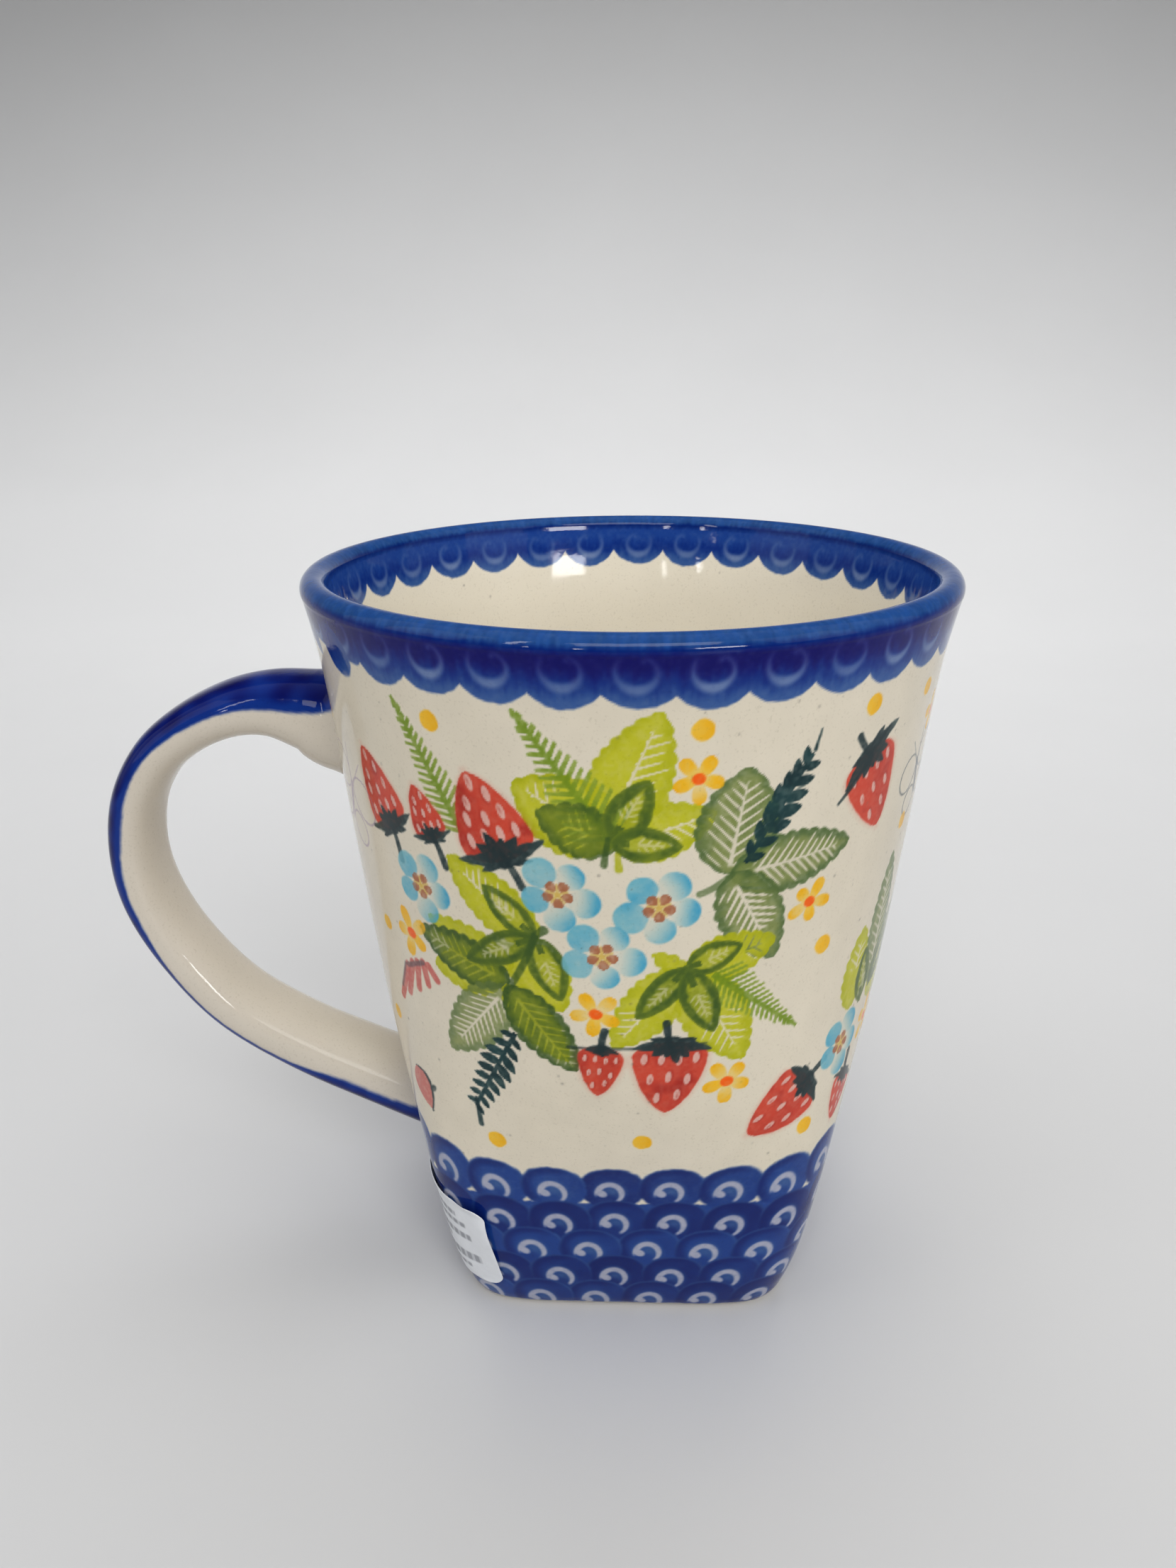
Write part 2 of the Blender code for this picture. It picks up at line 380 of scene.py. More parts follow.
class Patch:
    """Some of a wall's points: the noise there, and the paint laid on them."""

    def __init__(self, wall, window):
        self.wall, self.window = wall, window
        self.wobble, self.grain, self.pool = (field[window] for field in wall.noises)

    def paint(self, mask, colour, texture=0.25):
        """Lays a colour where the mask is 1, thinner where the grain is light."""
        share = mask * (1 - texture * ease(0.35, 0.8, self.grain))
        share = share[..., None].astype(np.float32)
        under = self.wall.colour[self.window]
        self.wall.colour[self.window] = blend(under, np.asarray(colour, np.float32), share)


class Wall:
    """A glazed wall as a grid of points, measured along its surface and painted in millimetres."""

    def __init__(self, points, levels, upward, ground, seed):
        self.levels = levels  # increasing along the rows: a place's height is looked up in these
        self.rise = run_lengths(points)
        self.turn = 0  # added to each place's angle, to paint the same thing elsewhere
        self.upward = upward  # 1 where the rows climb the wall, -1 where they go down it
        around = np.linalg.norm(np.roll(points, -1, axis=1) - points, axis=-1)
        self.girth = np.concatenate([np.zeros((len(points), 1)), np.cumsum(around, axis=1)], 1)
        self.columns = points.shape[1]
        wobble = (noise(points, 0.9, seed) + 0.5 * noise(points, 0.42, seed + 1)) / 0.75 - 1
        grain = 0.6 * noise(points, 0.45, seed + 2) + 0.4 * noise(points, 0.8, seed + 3)
        self.pool = 0.6 * noise(points, 3.1, seed + 4) + 0.4 * noise(points, 1.5, seed + 5)
        self.noises = wobble, grain, self.pool
        self.colour = np.empty(points.shape, np.float32)
        self.colour[:] = ground

    def angles(self):
        return np.arange(self.columns) * 360 / self.columns - 180

    def around_at(self, angle, rows):
        """Girth distance of an angle on some rows, from the seam behind the handle."""
        place = (angle + 180) / 360 * self.columns
        whole = math.floor(place)
        turns, column = divmod(whole, self.columns)
        here = self.girth[rows, column]
        there = self.girth[rows, column + 1]
        return blend(here, there, place - whole) + turns * self.girth[rows, -1]

    def near(self, place, reach):
        """The patch within reach of a place, and distances around and up from the place."""
        angle, height = place[0] + self.turn, place[1]
        middle = np.interp(height, self.levels, self.rise)
        rows = np.flatnonzero(np.abs(self.rise - middle) < reach)
        row = int(np.clip(np.searchsorted(self.rise, middle), 0, len(self.rise) - 1))
        step = self.girth[row, -1] / self.columns
        span = int(min(reach / (step * 0.8), self.columns / 2 - 1)) + 1
        centre = int((angle + 180) / 360 * self.columns)
        columns = np.arange(centre - span, centre + span + 1)
        turns, column = np.divmod(columns, self.columns)
        around = self.girth[rows][:, column] + turns * self.girth[rows, -1][:, None]
        around = around - self.around_at(angle, rows)[:, None]
        up = np.broadcast_to((self.rise[rows] - middle)[:, None] * self.upward, around.shape)
        return Patch(self, np.ix_(rows, column)), around, up

    def offset(self, place, other):
        """Distances around and up from one place to another."""
        rows = np.array([np.searchsorted(self.levels, other[1]).clip(0, len(self.levels) - 1)])
        there, here = (self.around_at(end[0] + self.turn, rows)[0] for end in (other, place))
        rises = np.interp((place[1], other[1]), self.levels, self.rise)
        return there - here, (rises[1] - rises[0]) * self.upward

    def between(self, tail, head, margin):
        """The patch round a stroke, with distances along it from its tail and across it."""
        to_head = np.array(self.offset(tail, head))
        length = float(np.hypot(*to_head))
        ahead = to_head / length
        whole, around, up = self.near(tail, length + margin)
        along = around * ahead[0] + up * ahead[1]
        across = up * ahead[0] - around * ahead[1]
        close = (along > -margin) & (along < length + margin) & (np.abs(across) < margin + length / 2)
        kept_rows, kept_columns = np.flatnonzero(close.any(1)), np.flatnonzero(close.any(0))
        keep = np.ix_(kept_rows, kept_columns)
        rows, columns = whole.window
        patch = Patch(self, (rows[kept_rows], columns[:, kept_columns]))
        return patch, along[keep], across[keep], length


# ---------------------------------------------------------------- motifs

# Rows of seeds on a berry: place along it, and count.
BIG_SEEDS = ((0.24, 4), (0.46, 3), (0.68, 2), (0.86, 1))
HEART_SEEDS = ((0.18, 4), (0.46, 3), (0.74, 2))
SMALL_SEEDS = ((0.20, 4), (0.48, 3), (0.74, 2))
# Turn from the berry's axis, reach and half width at the root of each sepal, in berry widths.
SEPALS = (
    (-87, 0.60, 0.13),
    (85, 0.64, 0.13),
    (-114, 0.36, 0.10),
    (110, 0.38, 0.10),
    (-58, 0.36, 0.14),
    (54, 0.38, 0.14),
    (-24, 0.27, 0.14),
    (22, 0.38, 0.13),
    (0, 0.22, 0.13),
)


def strawberry(wall, calyx, tip, stem, width, seed_rows, seed_size, lean=0.0, crown=1.0):
    """A conical berry with pale seeds, a dark leafy calyx and a stem."""
    patch, along, across, length = wall.between(calyx, tip, width * 0.8)
    q = along / length
    shoulder = np.sqrt(np.clip(1 - ((0.16 - q) / 0.24) ** 2, 0, 1))
    taper = np.clip(1 - np.clip((q - 0.16) / 0.84, 0, 1) ** 1.5, 0, 1) ** 0.66
    half = width / 2 * np.where(q < 0.16, shoulder, taper) * (q < 1) * (q > -0.08)
    distance = np.abs(across) - half + 0.12 * patch.wobble
    body = inside(distance, 0, 0.3) * (half > 0)
    halo = inside(distance, 0.5, 1.3) * inside(np.abs(along - length / 2), length * 0.56, 1.0)
    patch.paint(0.14 * halo, RED)
    blotch = ease(0.5, 0.85, patch.pool) * 0.6 + 0.25 * bump(across - width * 0.18, width * 0.2)
    patch.paint(body, shades(RED, RED_DARK, blotch), 0.10)
    for row, (share, count) in enumerate(seed_rows):
        spread = width * 0.5 * float(np.clip(1 - max(share - 0.16, 0) / 0.84, 0, 1) ** 0.8) * 0.70
        places = np.linspace(-spread, spread, count) if count > 1 else [0.0]
        for k, place in enumerate(places):
            shift = 0.3 * math.sin(7.1 * row + 3.3 * k)
            u = (along - share * length - shift) / (1.02 * seed_size)
            v = (across - place - 0.2 * shift + 0.05 * (along - share * length)) / (0.46 * seed_size)
            gap = np.hypot(u, v)
            shown = math.sin(3.7 * row + 5.1 * k) > -0.3
            pit = inside(np.hypot(u + 0.1, v - 0.5) + 0.1 * patch.wobble, 1.2, 0.8)
            patch.paint(pit * body * 0.4 * shown, RED_DARK, 0.1)
            seed = inside(gap + 0.12 * patch.wobble, 1.0, 0.35)
            hollow = 0.45 if (3 * row + 2 * k) % 5 > 2 else 0.05
            core = bump(u - 0.25, 0.5) * bump(v - 0.2, 0.4) * hollow
            patch.paint(seed * 0.9, shades(SEED, RED_DARK, core), 0.1)
    mask = np.zeros_like(along)
    for turn, reach, base in SEPALS:
        u, v = turned(along + 0.05 * width, across, math.radians(turn + lean))
        t = u / (reach * crown * width)
        edge = base * width * np.clip(1 - t, 0, 1) ** 0.62 * (t > -0.1)
        ragged = 0.07 * patch.wobble + 0.06 * np.sin(u * 2.6 + turn)
        bend = 0.10 * reach * width * t * t * (1 if turn > 0 else -1)
        mask = np.maximum(mask, inside(np.abs(v + bend) + ragged, edge, 0.28) * (edge > 0.02))
    gap = np.hypot(along + 0.02 * width, across * 0.62) + 0.15 * patch.wobble
    mask = np.maximum(mask, inside(gap, 0.15 * width, 0.4))
    thin = 1.1 * np.abs(across) / width + 0.5 * patch.pool - 0.35
    patch.paint(mask * 0.98, shades(CALYX, CALYX_THIN, thin), 0.12)
    stroke(wall, calyx, stem, 0.44, CALYX, 0.16, 1.0, 0.14)


def stroke(wall, tail, head, half, colour, bulb, strength, bend=0.0):
    """A brush stroke of even width with round ends, and a slightly fatter head."""
    patch, along, across, length = wall.between(tail, head, 2.0)
    t = np.clip(along / length, 0, 1)
    across = across - bend * length * t * (1 - t)
    gap = np.hypot(along - t * length, across) + 0.07 * patch.wobble
    patch.paint(inside(gap, half + bulb * t, 0.28) * 0.92 * strength, colour, 0.2)


def leaf_half(q, width):
    """Half width of a broad leaf along its length."""
    q = np.clip(q, 0, 1)
    return width / 2 * np.sin(np.pi * q**0.82) ** 0.66


VEIN_LEAN = 0.8  # how far the side veins run towards the tip for each step outwards


def veins(along, across, half, length, first, last, pitch, reach=0.66, side=0, heavy=0.24):
    """Mask of a midrib and slanting side veins over a stretch of a leaf."""
    q = along / length
    stretch = ease(first - 0.03, first + 0.02, q) * (1 - ease(last - 0.02, last + 0.03, q))
    rib = inside(np.abs(across), 0.30 * (1.15 - q), 0.25)
    phase = (along - VEIN_LEAN * np.abs(across)) / pitch + 0.4 * (across < 0)
    gap = np.abs(phase - np.round(phase)) * pitch
    reach = reach * (1 + 0.22 * np.sin(2.3 * phase.round() + 1.9 * (across > 0)))
    thin = heavy - 0.5 * heavy * np.clip(np.abs(across) / (reach * half + 0.01), 0, 1)
    comb = inside(gap, thin, 0.2) * inside(np.abs(across), reach * half, 0.6)
    if side:
        comb = comb * (across * side > -0.3)
    return np.maximum(rib, comb) * stretch


def leaf(
    wall, base, tip, width, greens, vein=None, edge=0.5, strength=0.95, pitch=1.5, seed=0.0,
    pale=0.85, heavy=0.24,
):
    """A broad leaf with a scalloped edge, darker towards the edge, with veins left pale.

    A vein is where the veins start and stop along the leaf, and the side they keep to.
    """
    patch, along, across, length = wall.between(base, tip, width * 0.62)
    half = leaf_half(along / length, width)
    tooth = np.abs(np.sin(np.pi * (along * 0.55 + seed + 0.12 * np.sign(across))))
    half = half + 0.42 * (tooth - 0.62) * (half > 0.5)
    distance = np.abs(across) - half + 0.15 * patch.wobble
    body = inside(distance, 0, 0.3) * (half > 0.05) * (along > 0) * (along < length)
    rim = ease(-2.1, -0.2, distance)
    brush = np.sin(2.1 * across + 0.9 * along + 5 * patch.pool)
    shade = edge * rim + 0.7 * (patch.pool - 0.4) + 0.12 * brush + 0.2 * (patch.grain - 0.5)
    mask = body * strength
    if vein:
        first, last, side = vein
        lines = veins(along, across, half, length, first, last, pitch, side=side, heavy=heavy)
        mask = mask * (1 - pale * lines)
    patch.paint(mask, shades(*greens, shade), 0.18)


def leaflet(wall, base, tip, width, rim_width, body_strength=0.35):
    """A small leaf drawn as a thick dark outline with a thinner wash and a scratch of vein inside."""
    patch, along, across, length = wall.between(base, tip, width * 0.6)
    half = leaf_half(along / length, width) * (along > 0) * (along < length)
    distance = np.abs(across) - half + 0.12 * patch.wobble
    body = inside(distance, 0, 0.28) * (half > 0.03)
    ring = body * ease(-rim_width - 0.35, -rim_width + 0.35, distance + 0.25 * patch.wobble)
    stem = inside(np.abs(across) + 0.1 * patch.wobble, 0.5, 0.3)
    stem = stem * (along > -0.3) * (along < length * 0.25)
    patch.paint(body * body_strength, LEAF_GREEN, 0.35)
    mark = veins(along, across, half, length, 0.38, 0.74, 1.1, 0.5) * body * (1 - ring)
    patch.paint(0.55 * mark, CREAM, 0.2)
    shade = 1.25 - 1.1 * patch.pool - 0.35 * ease(-0.7, 0.0, distance)
    mask = np.maximum(ring, stem) * 0.92
    patch.paint(mask, shades(LEAF_GREEN, LEAF_DARK, shade), 0.22)


def fern(wall, base, tip, width, pitch=1.2):
    """A tapering frond with close slanting leaflets that run together towards the tip."""
    patch, along, across, length = wall.between(base, tip, width * 0.6)
    q = np.clip(along / length, 0, 1)
    reach = width / 2 * (1 - q) ** 0.9 * ease(-0.03, 0.12, q) + 0.14
    phase = (along - 0.6 * np.abs(across)) / pitch + 0.5 * (across < 0)
    gap = np.abs(phase - np.round(phase)) * 2
    thin = 0.70 - 0.22 * np.clip(np.abs(across) / reach, 0, 1) + 0.45 * ease(0.72, 0.95, q)
    ragged = reach + 0.22 * np.sin(phase.round() * 2.4)
    leaflets = inside(gap + 0.12 * patch.wobble, thin, 0.28) * inside(np.abs(across), ragged, 0.35)
    rib = inside(np.abs(across), 0.55 * (1 - 0.5 * q), 0.35)
    mask = np.maximum(leaflets, rib) * (along > -0.2) * (along < length)
    shade = 1.0 * bump(across, 1.3) + 0.6 * patch.pool - 0.3
    patch.paint(mask * 0.9, shades(FERN, FERN_DARK, shade), 0.2)


def sprig(wall, base, tip, pairs, leaf_size, lean_left, lean_right, bare, plump=0.25, fullest=0.3):
    """A dark sprig with pairs of pointed leaves that get smaller towards the tip."""
    patch, along, across, length = wall.between(base, tip, leaf_size * 1.3)
    mask = inside(np.abs(across) + 0.08 * patch.wobble, 0.34, 0.25)
    mask = mask * (along > -0.3) * (along < length)
    for k in range(pairs):
        q = blend(0.02, 1 - bare, k / (pairs - 1))
        size = leaf_size * np.interp(q, (0, fullest, 1), (0.6, 1.0, 0.55))
        for side, lean in ((1, lean_left), (-1, lean_right)):
            ahead = along - (q + 0.035 * (side > 0)) * length
            u, v = turned(ahead, side * across, math.radians(lean))
            t = np.clip(u / size, 0, 1)
            half = plump * size * np.sin(np.pi * np.clip(0.12 + 0.88 * t, 0, 1)) ** 0.75
            blade = inside(np.abs(v) + 0.08 * patch.wobble, half, 0.22) * (u > 0) * (u < size)
            mask = np.maximum(mask, blade)
    shade = 1.3 * (1 - patch.pool)
    patch.paint(mask * 0.96, shades(SPRIG_THIN, SPRIG, shade), 0.15)


def blue_flower(wall, place, radius, turn, seed):
    """Five brushed blue petals round a small brown star with a yellow middle."""
    patch, around, up = wall.near(place, radius * 1.35)
    for k in range(5):
        angle = math.radians(turn + 72 * k)
        u, v = turned(around, up, angle)
        grow = 1 + 0.08 * math.sin(2.3 * k + seed)
        centre = 0.63 * radius * grow
        long_half, wide_half = 0.36 * radius * grow, 0.385 * radius * grow
        gap = np.hypot((u - centre) / long_half, v / wide_half)
        petal = inside(gap + 0.05 * patch.wobble, 1, 0.16)
        outward = (u - centre) / long_half
        rightward = (around - centre * math.cos(angle)) / wide_half
        pool = patch.pool - 0.45
        if math.cos(angle) < -0.25:
            density = 0.86 + 0.12 * outward + 0.4 * pool
            deep = 0.30 - 0.25 * outward + 0.8 * pool
        else:
            density = 0.52 + 0.30 * outward + 0.36 * rightward + 0.3 * pool
            deep = 0.10 + 0.45 * rightward + 0.35 * outward + 0.6 * pool
        density = np.clip(density, 0.14, 1)
        patch.paint(petal * density, shades(PETAL_BLUE, PETAL_DEEP, deep), 0.12)
    patch.paint(0.5 * inside(np.hypot(around, up), 0.17 * radius, 0.8), CENTRE_YELLOW)
    for k in range(5):
        u, v = turned(around, up, math.radians(turn + 72 * k))
        t = (u - 0.10 * radius) / (0.28 * radius)
        flare = 0.72 + 0.45 * np.clip(t, 0, 1)
        half = 0.135 * radius * np.sqrt(np.clip(1 - (2 * t - 1) ** 2, 0, 1)) * flare
        lobe = inside(np.abs(v) + 0.07 * patch.wobble, half, 0.2) * (t > 0) * (t < 1.02)
        patch.paint(lobe * 0.9, CENTRE_BROWN, 0.3)
    for k in range(5):
        u, v = turned(around, up, math.radians(turn + 36 + 72 * k))
        ray = inside(np.abs(v), 0.16, 0.2) * inside(np.abs(u - 0.15 * radius), 0.14 * radius, 0.3)
        patch.paint(ray * 0.8, CENTRE_YELLOW)
    dot = inside(np.hypot(around, up), 0.07 * radius, 0.3)
    patch.paint(dot * 0.9, CENTRE_YELLOW)


def orange_flower(wall, place, radius, turn, seed):
    """Five pale yellow-orange petals round a red-orange dot."""
    patch, around, up = wall.near(place, radius * 1.4)
    for k in range(5):
        u, v = turned(around, up, math.radians(turn + 72 * k))
        grow = 1 + 0.12 * math.sin(3.1 * k + seed)
        t = u / (radius * grow)
        flare = 0.7 + 0.5 * np.clip(t, 0, 1)
        half = 0.29 * radius * np.sqrt(np.clip(1 - (2 * t - 1.12) ** 2 / 0.95, 0, 1)) * flare
        petal = inside(np.abs(v) + 0.06 * patch.wobble, half, 0.3) * (t > 0.05) * (half > 0)
        density = np.clip(0.72 + 0.25 * math.sin(2.1 * k + seed) + 0.8 * (t - 0.45), 0.3, 0.96)
        patch.paint(petal * density, shades(PETAL_YELLOW, DOT_YELLOW, t - 0.2), 0.2)
    gap = np.hypot(around, up * 1.1) + 0.1 * patch.wobble
    patch.paint(inside(gap, 0.27 * radius, 0.3) * 0.95, ORANGE, 0.15)


def dot(wall, place, half_around, half_up):
    """A finger-tip dab of yellow, thicker at one side."""
    patch, around, up = wall.near(place, 3.2)
    gap = np.hypot(around / half_around, up / half_up) + 0.09 * patch.wobble
    shade = 0.5 + 0.5 * around / half_around
    colour = shades(PETAL_YELLOW, DOT_YELLOW, shade)
    patch.paint(inside(gap, 1, 0.2) * 0.92, colour, 0.12)


def melon_slice(wall, tops, ends, half):
    """Red stripes that fan out from a dark rind along their tops and down the first of them."""
    for top, end in zip(tops, ends):
        stroke(wall, top, end, half, MELON_RED, -0.05, 0.95)
    stroke(wall, tops[0], tops[-2], 0.42, INK, 0.0, 0.6)
    outer_end = (ends[0][0] + 0.6, ends[0][1] + 2.0)
    stroke(wall, (tops[0][0] - 0.9, tops[0][1]), outer_end, 0.3, INK, 0.0, 0.5)


def melon_wedge(wall, top, low, width):
    """A red wedge with a dark rind down one side and a stub of stem."""
    patch, along, across, length = wall.between(top, low, width)
    q = np.clip(along / length, 0, 1)
    half = width * 0.5 * np.sin(np.pi * q**0.75) ** 0.8
    body = inside(np.abs(across - 0.1 * width) + 0.08 * patch.wobble, half, 0.3) * (half > 0.1)
    patch.paint(body * 0.8, MELON_RED, 0.2)
    rind = inside(np.abs(across - 0.1 * width - half) + 0.12 * patch.wobble, 0.34, 0.3)
    rind = rind * (along > -0.2) * (along < length + 0.4)
    stub = inside(np.hypot(along - 0.55 * length, (across - 0.1 * width - half - 0.5) * 0.6), 0.55, 0.4)
    patch.paint(np.maximum(rind, stub) * 0.85, CALYX, 0.3)


# Middle and half sizes of the upper and the lower wing, in butterfly sizes.
WINGS = ((0.45, 0.35, 0.40, 0.34), (0.36, -0.32, 0.30, 0.27))


def butterfly(wall, place, size, turn, colour, strength=0.85):
    """A butterfly drawn in thin outline: four looped wings, a body and two feelers."""
    patch, around, up = wall.near(place, size * 1.3)
    x, y = turned(around, up, math.radians(turn))
    mask = np.zeros_like(x)
    for side in (1, -1):
        for cx, cy, rx, ry in WINGS:
            ring = np.hypot((x * side - cx * size) / (rx * size), (y - cy * size) / (ry * size))
            gap = np.abs(ring - 1) * rx * size
            mask = np.maximum(mask, inside(gap + 0.05 * patch.wobble, 0.16, 0.2))
        feeler = np.abs(x * side - 0.05 * size - 0.35 * (y - 0.35 * size))
        mask = np.maximum(mask, inside(feeler, 0.1, 0.2) * (y > 0.35 * size) * (y < 0.95 * size))
    body = inside(np.hypot(x / 0.5, y / (0.42 * size)), 1, 0.3)
    patch.paint(np.maximum(mask, body) * strength, colour, 0.3)


# ---------------------------------------------------------------- the painted composition


def bouquet(wall):
    """The main painting: leaves, berries, ferns and flowers."""
    # Top cluster: a fern over lime leaves and dark leaflets.
    leaf(wall, (-91.5, 92), (-108, 99.5), 11.0, LIME_LEAF, (0.66, 0.86, -1), 0.75, seed=0.2)
    leaf(wall, (-93.4, 93), (-85, 109.6), 10.2, LIME_LEAF, (0.40, 0.84, -1), seed=0.5)
    leaf(wall, (-92.5, 91.5), (-76, 95.8), 8.0, LIME_LEAF, (0.50, 0.95, -1), seed=0.7)
    fern(wall, (-92.5, 92.5), (-107.2, 109.3), 10.2, 1.25)
    leaf(wall, (-91.5, 91.5), (-104.5, 95.8), 7.6, DARK_LEAF, (0.35, 0.66, 0), 0.7, 0.85, 1.3, 0.1, 0.6)
    leaflet(wall, (-92.5, 92.2), (-86.6, 100.6), 5.7, 1.55, 0.3)
    leaflet(wall, (-92.5, 92.0), (-81.2, 91.3), 5.0, 1.45, 0.3)
    stroke(wall, (-93, 92.5), (-93.7, 88.8), 0.34, LEAF_DARK, 0.15, 0.85)
    stroke(wall, (-91.5, 90.2), (-91.3, 88.2), 0.4, LIME_EDGE, 0.15, 0.8)

    # Right cluster: three olive leaves and a dark sprig.
    leaf(
        wall, (-73.4, 86.8), (-71, 101.6), 11.4, OLIVE_LEAF, (0.08, 0.86, 0),
        0.75, 0.92, 1.5, 0.3, 0.9, 0.27,
    )
    leaf(wall, (-73, 86.6), (-49.0, 88.0), 8.8, OLIVE_LEAF, (0.18, 0.86, 0), 1.0, 0.92, 1.25, 0.6, 0.9, 0.29)
    leaf(wall, (-73, 86.8), (-63.0, 72.6), 9.4, OLIVE_LEAF, (0.14, 0.66, 0), 0.9, 0.9, 1.25, 0.9, 0.95, 0.35)
    stroke(wall, (-72.8, 86.6), (-78, 84.2), 0.5, OLIVE_DARK, 0.0, 0.75, 0.2)
    sprig(wall, (-70.4, 88.3), (-60.2, 102.2), 7, 4.0, 34, 50, 0.14, 0.26, 0.4)
    stroke(wall, (-59.9, 102.6), (-59.2, 105.3), 0.32, SPRIG, -0.2, 0.95)

    # Lower right cluster: lime leaves, dark leaflets and a fern.
    leaf(wall, (-80, 72.5), (-63, 75.8), 7.6, LIME_LEAF, (0.66, 0.82, 0), seed=0.4)
    leaf(wall, (-79.8, 73), (-92.6, 60.0), 8.2, LIME_LEAF, (0.58, 0.84, -1), seed=0.8)
    leaf(wall, (-79, 72.3), (-67.0, 56.4), 9.6, LIME_LEAF, (0.50, 0.82, 0), seed=0.2)
    leaf(wall, (-79.5, 72.5), (-85.8, 75.5), 2.8, LIME_LEAF, None, seed=0.1)
    fern(wall, (-74.5, 71.5), (-55.5, 59.6), 8.0, 1.0)
    leaflet(wall, (-79.5, 73), (-69.6, 75.8), 4.8, 1.05, 0.3)
    leaflet(wall, (-79.5, 73), (-88.3, 65.0), 4.6, 1.2, 0.75)
    leaflet(wall, (-79.3, 72.5), (-73.6, 62.0), 5.3, 1.2, 0.55)

    # Left cluster: layered leaves round a dark trio.
    leaf(wall, (-105.5, 76.3), (-122, 87.0), 8.2, LIME_LEAF, (0.35, 0.8, -1), 0.6, 0.95, 1.2, 0.9)
    leaf(wall, (-109, 76), (-101.6, 65.5), 8.8, LIME_LEAF, None, seed=0.3)
    leaf(wall, (-110.5, 71.5), (-129, 76), 6.2, LIME_LEAF, None, seed=0.5)
    leaf(wall, (-112.5, 70), (-129, 68), 7.6, LIME_LEAF, None, seed=0.1)
    leaf(wall, (-111.5, 69), (-132, 73.4), 7.8, DARK_LEAF, (0.15, 0.85, 0), 1.1, 0.92, 1.4, 0.2, 0.5)
    leaf(wall, (-112, 68), (-127.5, 54.0), 8.6, OLIVE_LEAF, (0.15, 0.80, 0), 0.6, 0.80, 1.2, 0.7, 0.9, 0.29)
    leaf(wall, (-112.5, 68.5), (-101, 57), 6.4, LIME_LEAF, None, seed=0.6)
    leaf(wall, (-112, 68.3), (-99.4, 55.4), 8.2, DARK_LEAF, (0.15, 0.92, 0), 1.1, 0.92, 1.4, 0.4, 0.55)
    leaflet(wall, (-106, 77), (-115.2, 83.8), 4.7, 1.15, 0.2)
    leaflet(wall, (-106, 77), (-120.5, 71.0), 5.0, 1.25, 0.7)
    leaflet(wall, (-105.8, 77), (-101.8, 67.2), 5.6, 1.25, 0.3)
    stroke(wall, (-106, 77), (-112.3, 67.5), 0.55, LEAF_DARK, 0.0, 0.85, 0.12)
    stroke(wall, (-106, 77.2), (-104.3, 78.3), 0.5, LEAF_DARK, 0.2, 0.85)
    sprig(wall, (-111.6, 60.2), (-122.6, 45.0), 9, 3.5, 58, 70, 0.06, 0.25, 0.3)
    stroke(wall, (-122.2, 46.4), (-121.8, 41.8), 0.38, SPRIG, 0.1, 0.95)

    # Ferns and berries, upper left.
    fern(wall, (-118.0, 91.0), (-129.8, 108.3), 8.0, 1.15)
    strawberry(wall, (-135.8, 88.6), (-142.2, 98.8), (-134.2, 83.4), 9.2, BIG_SEEDS, 0.85)
    strawberry(wall, (-124.8, 89.2), (-128.2, 96.0), (-122.6, 85.0), 6.3, SMALL_SEEDS, 0.66)
    strawberry(wall, (-110.8, 88.8), (-116.4, 99.8), (-107.6, 84.4), 11.2, BIG_SEEDS, 1.12)

    # Berries, lower middle, and their shared stalk.
    stroke(wall, (-101, 59.6), (-75, 60.2), 0.26, CALYX, 0.0, 0.7)
    strawberry(wall, (-94.7, 59.4), (-95.7, 51.2), (-94, 62.8), 6.4, SMALL_SEEDS, 0.6, crown=0.62)
    strawberry(wall, (-81.5, 60.0), (-82.2, 48.0), (-82.6, 64.2), 10.6, HEART_SEEDS, 0.98, crown=0.86)

    # Forget-me-nots.
    blue_flower(wall, (-129.6, 80.5), 5.5, 62, 0.4)
    blue_flower(wall, (-101.5, 84), 5.6, 128, 1.9)
    blue_flower(wall, (-84.7, 82.5), 5.8, 58, 3.1)
    blue_flower(wall, (-94.2, 75), 5.6, 60, 4.4)

    # Small yellow flowers.
    orange_flower(wall, (-79.2, 100.5), 3.3, 130, 0.3)
    orange_flower(wall, (-56.6, 80), 3.3, 62, 1.1)
    orange_flower(wall, (-135.2, 71.3), 3.7, 110, 2.0)
    orange_flower(wall, (-95.6, 65.6), 3.5, 118, 2.9)
    orange_flower(wall, (-70, 52.8), 3.7, 52, 3.7)

    upper_dots = ((-122, 106), (-79, 107), (-48.5, 107), (-51.5, 72))
    lower_dots = ((-118.5, 39.5), (-86.5, 41.6), (-49.5, 40))
    for place in upper_dots + lower_dots:
        dot(wall, place, 1.45, 1.5)


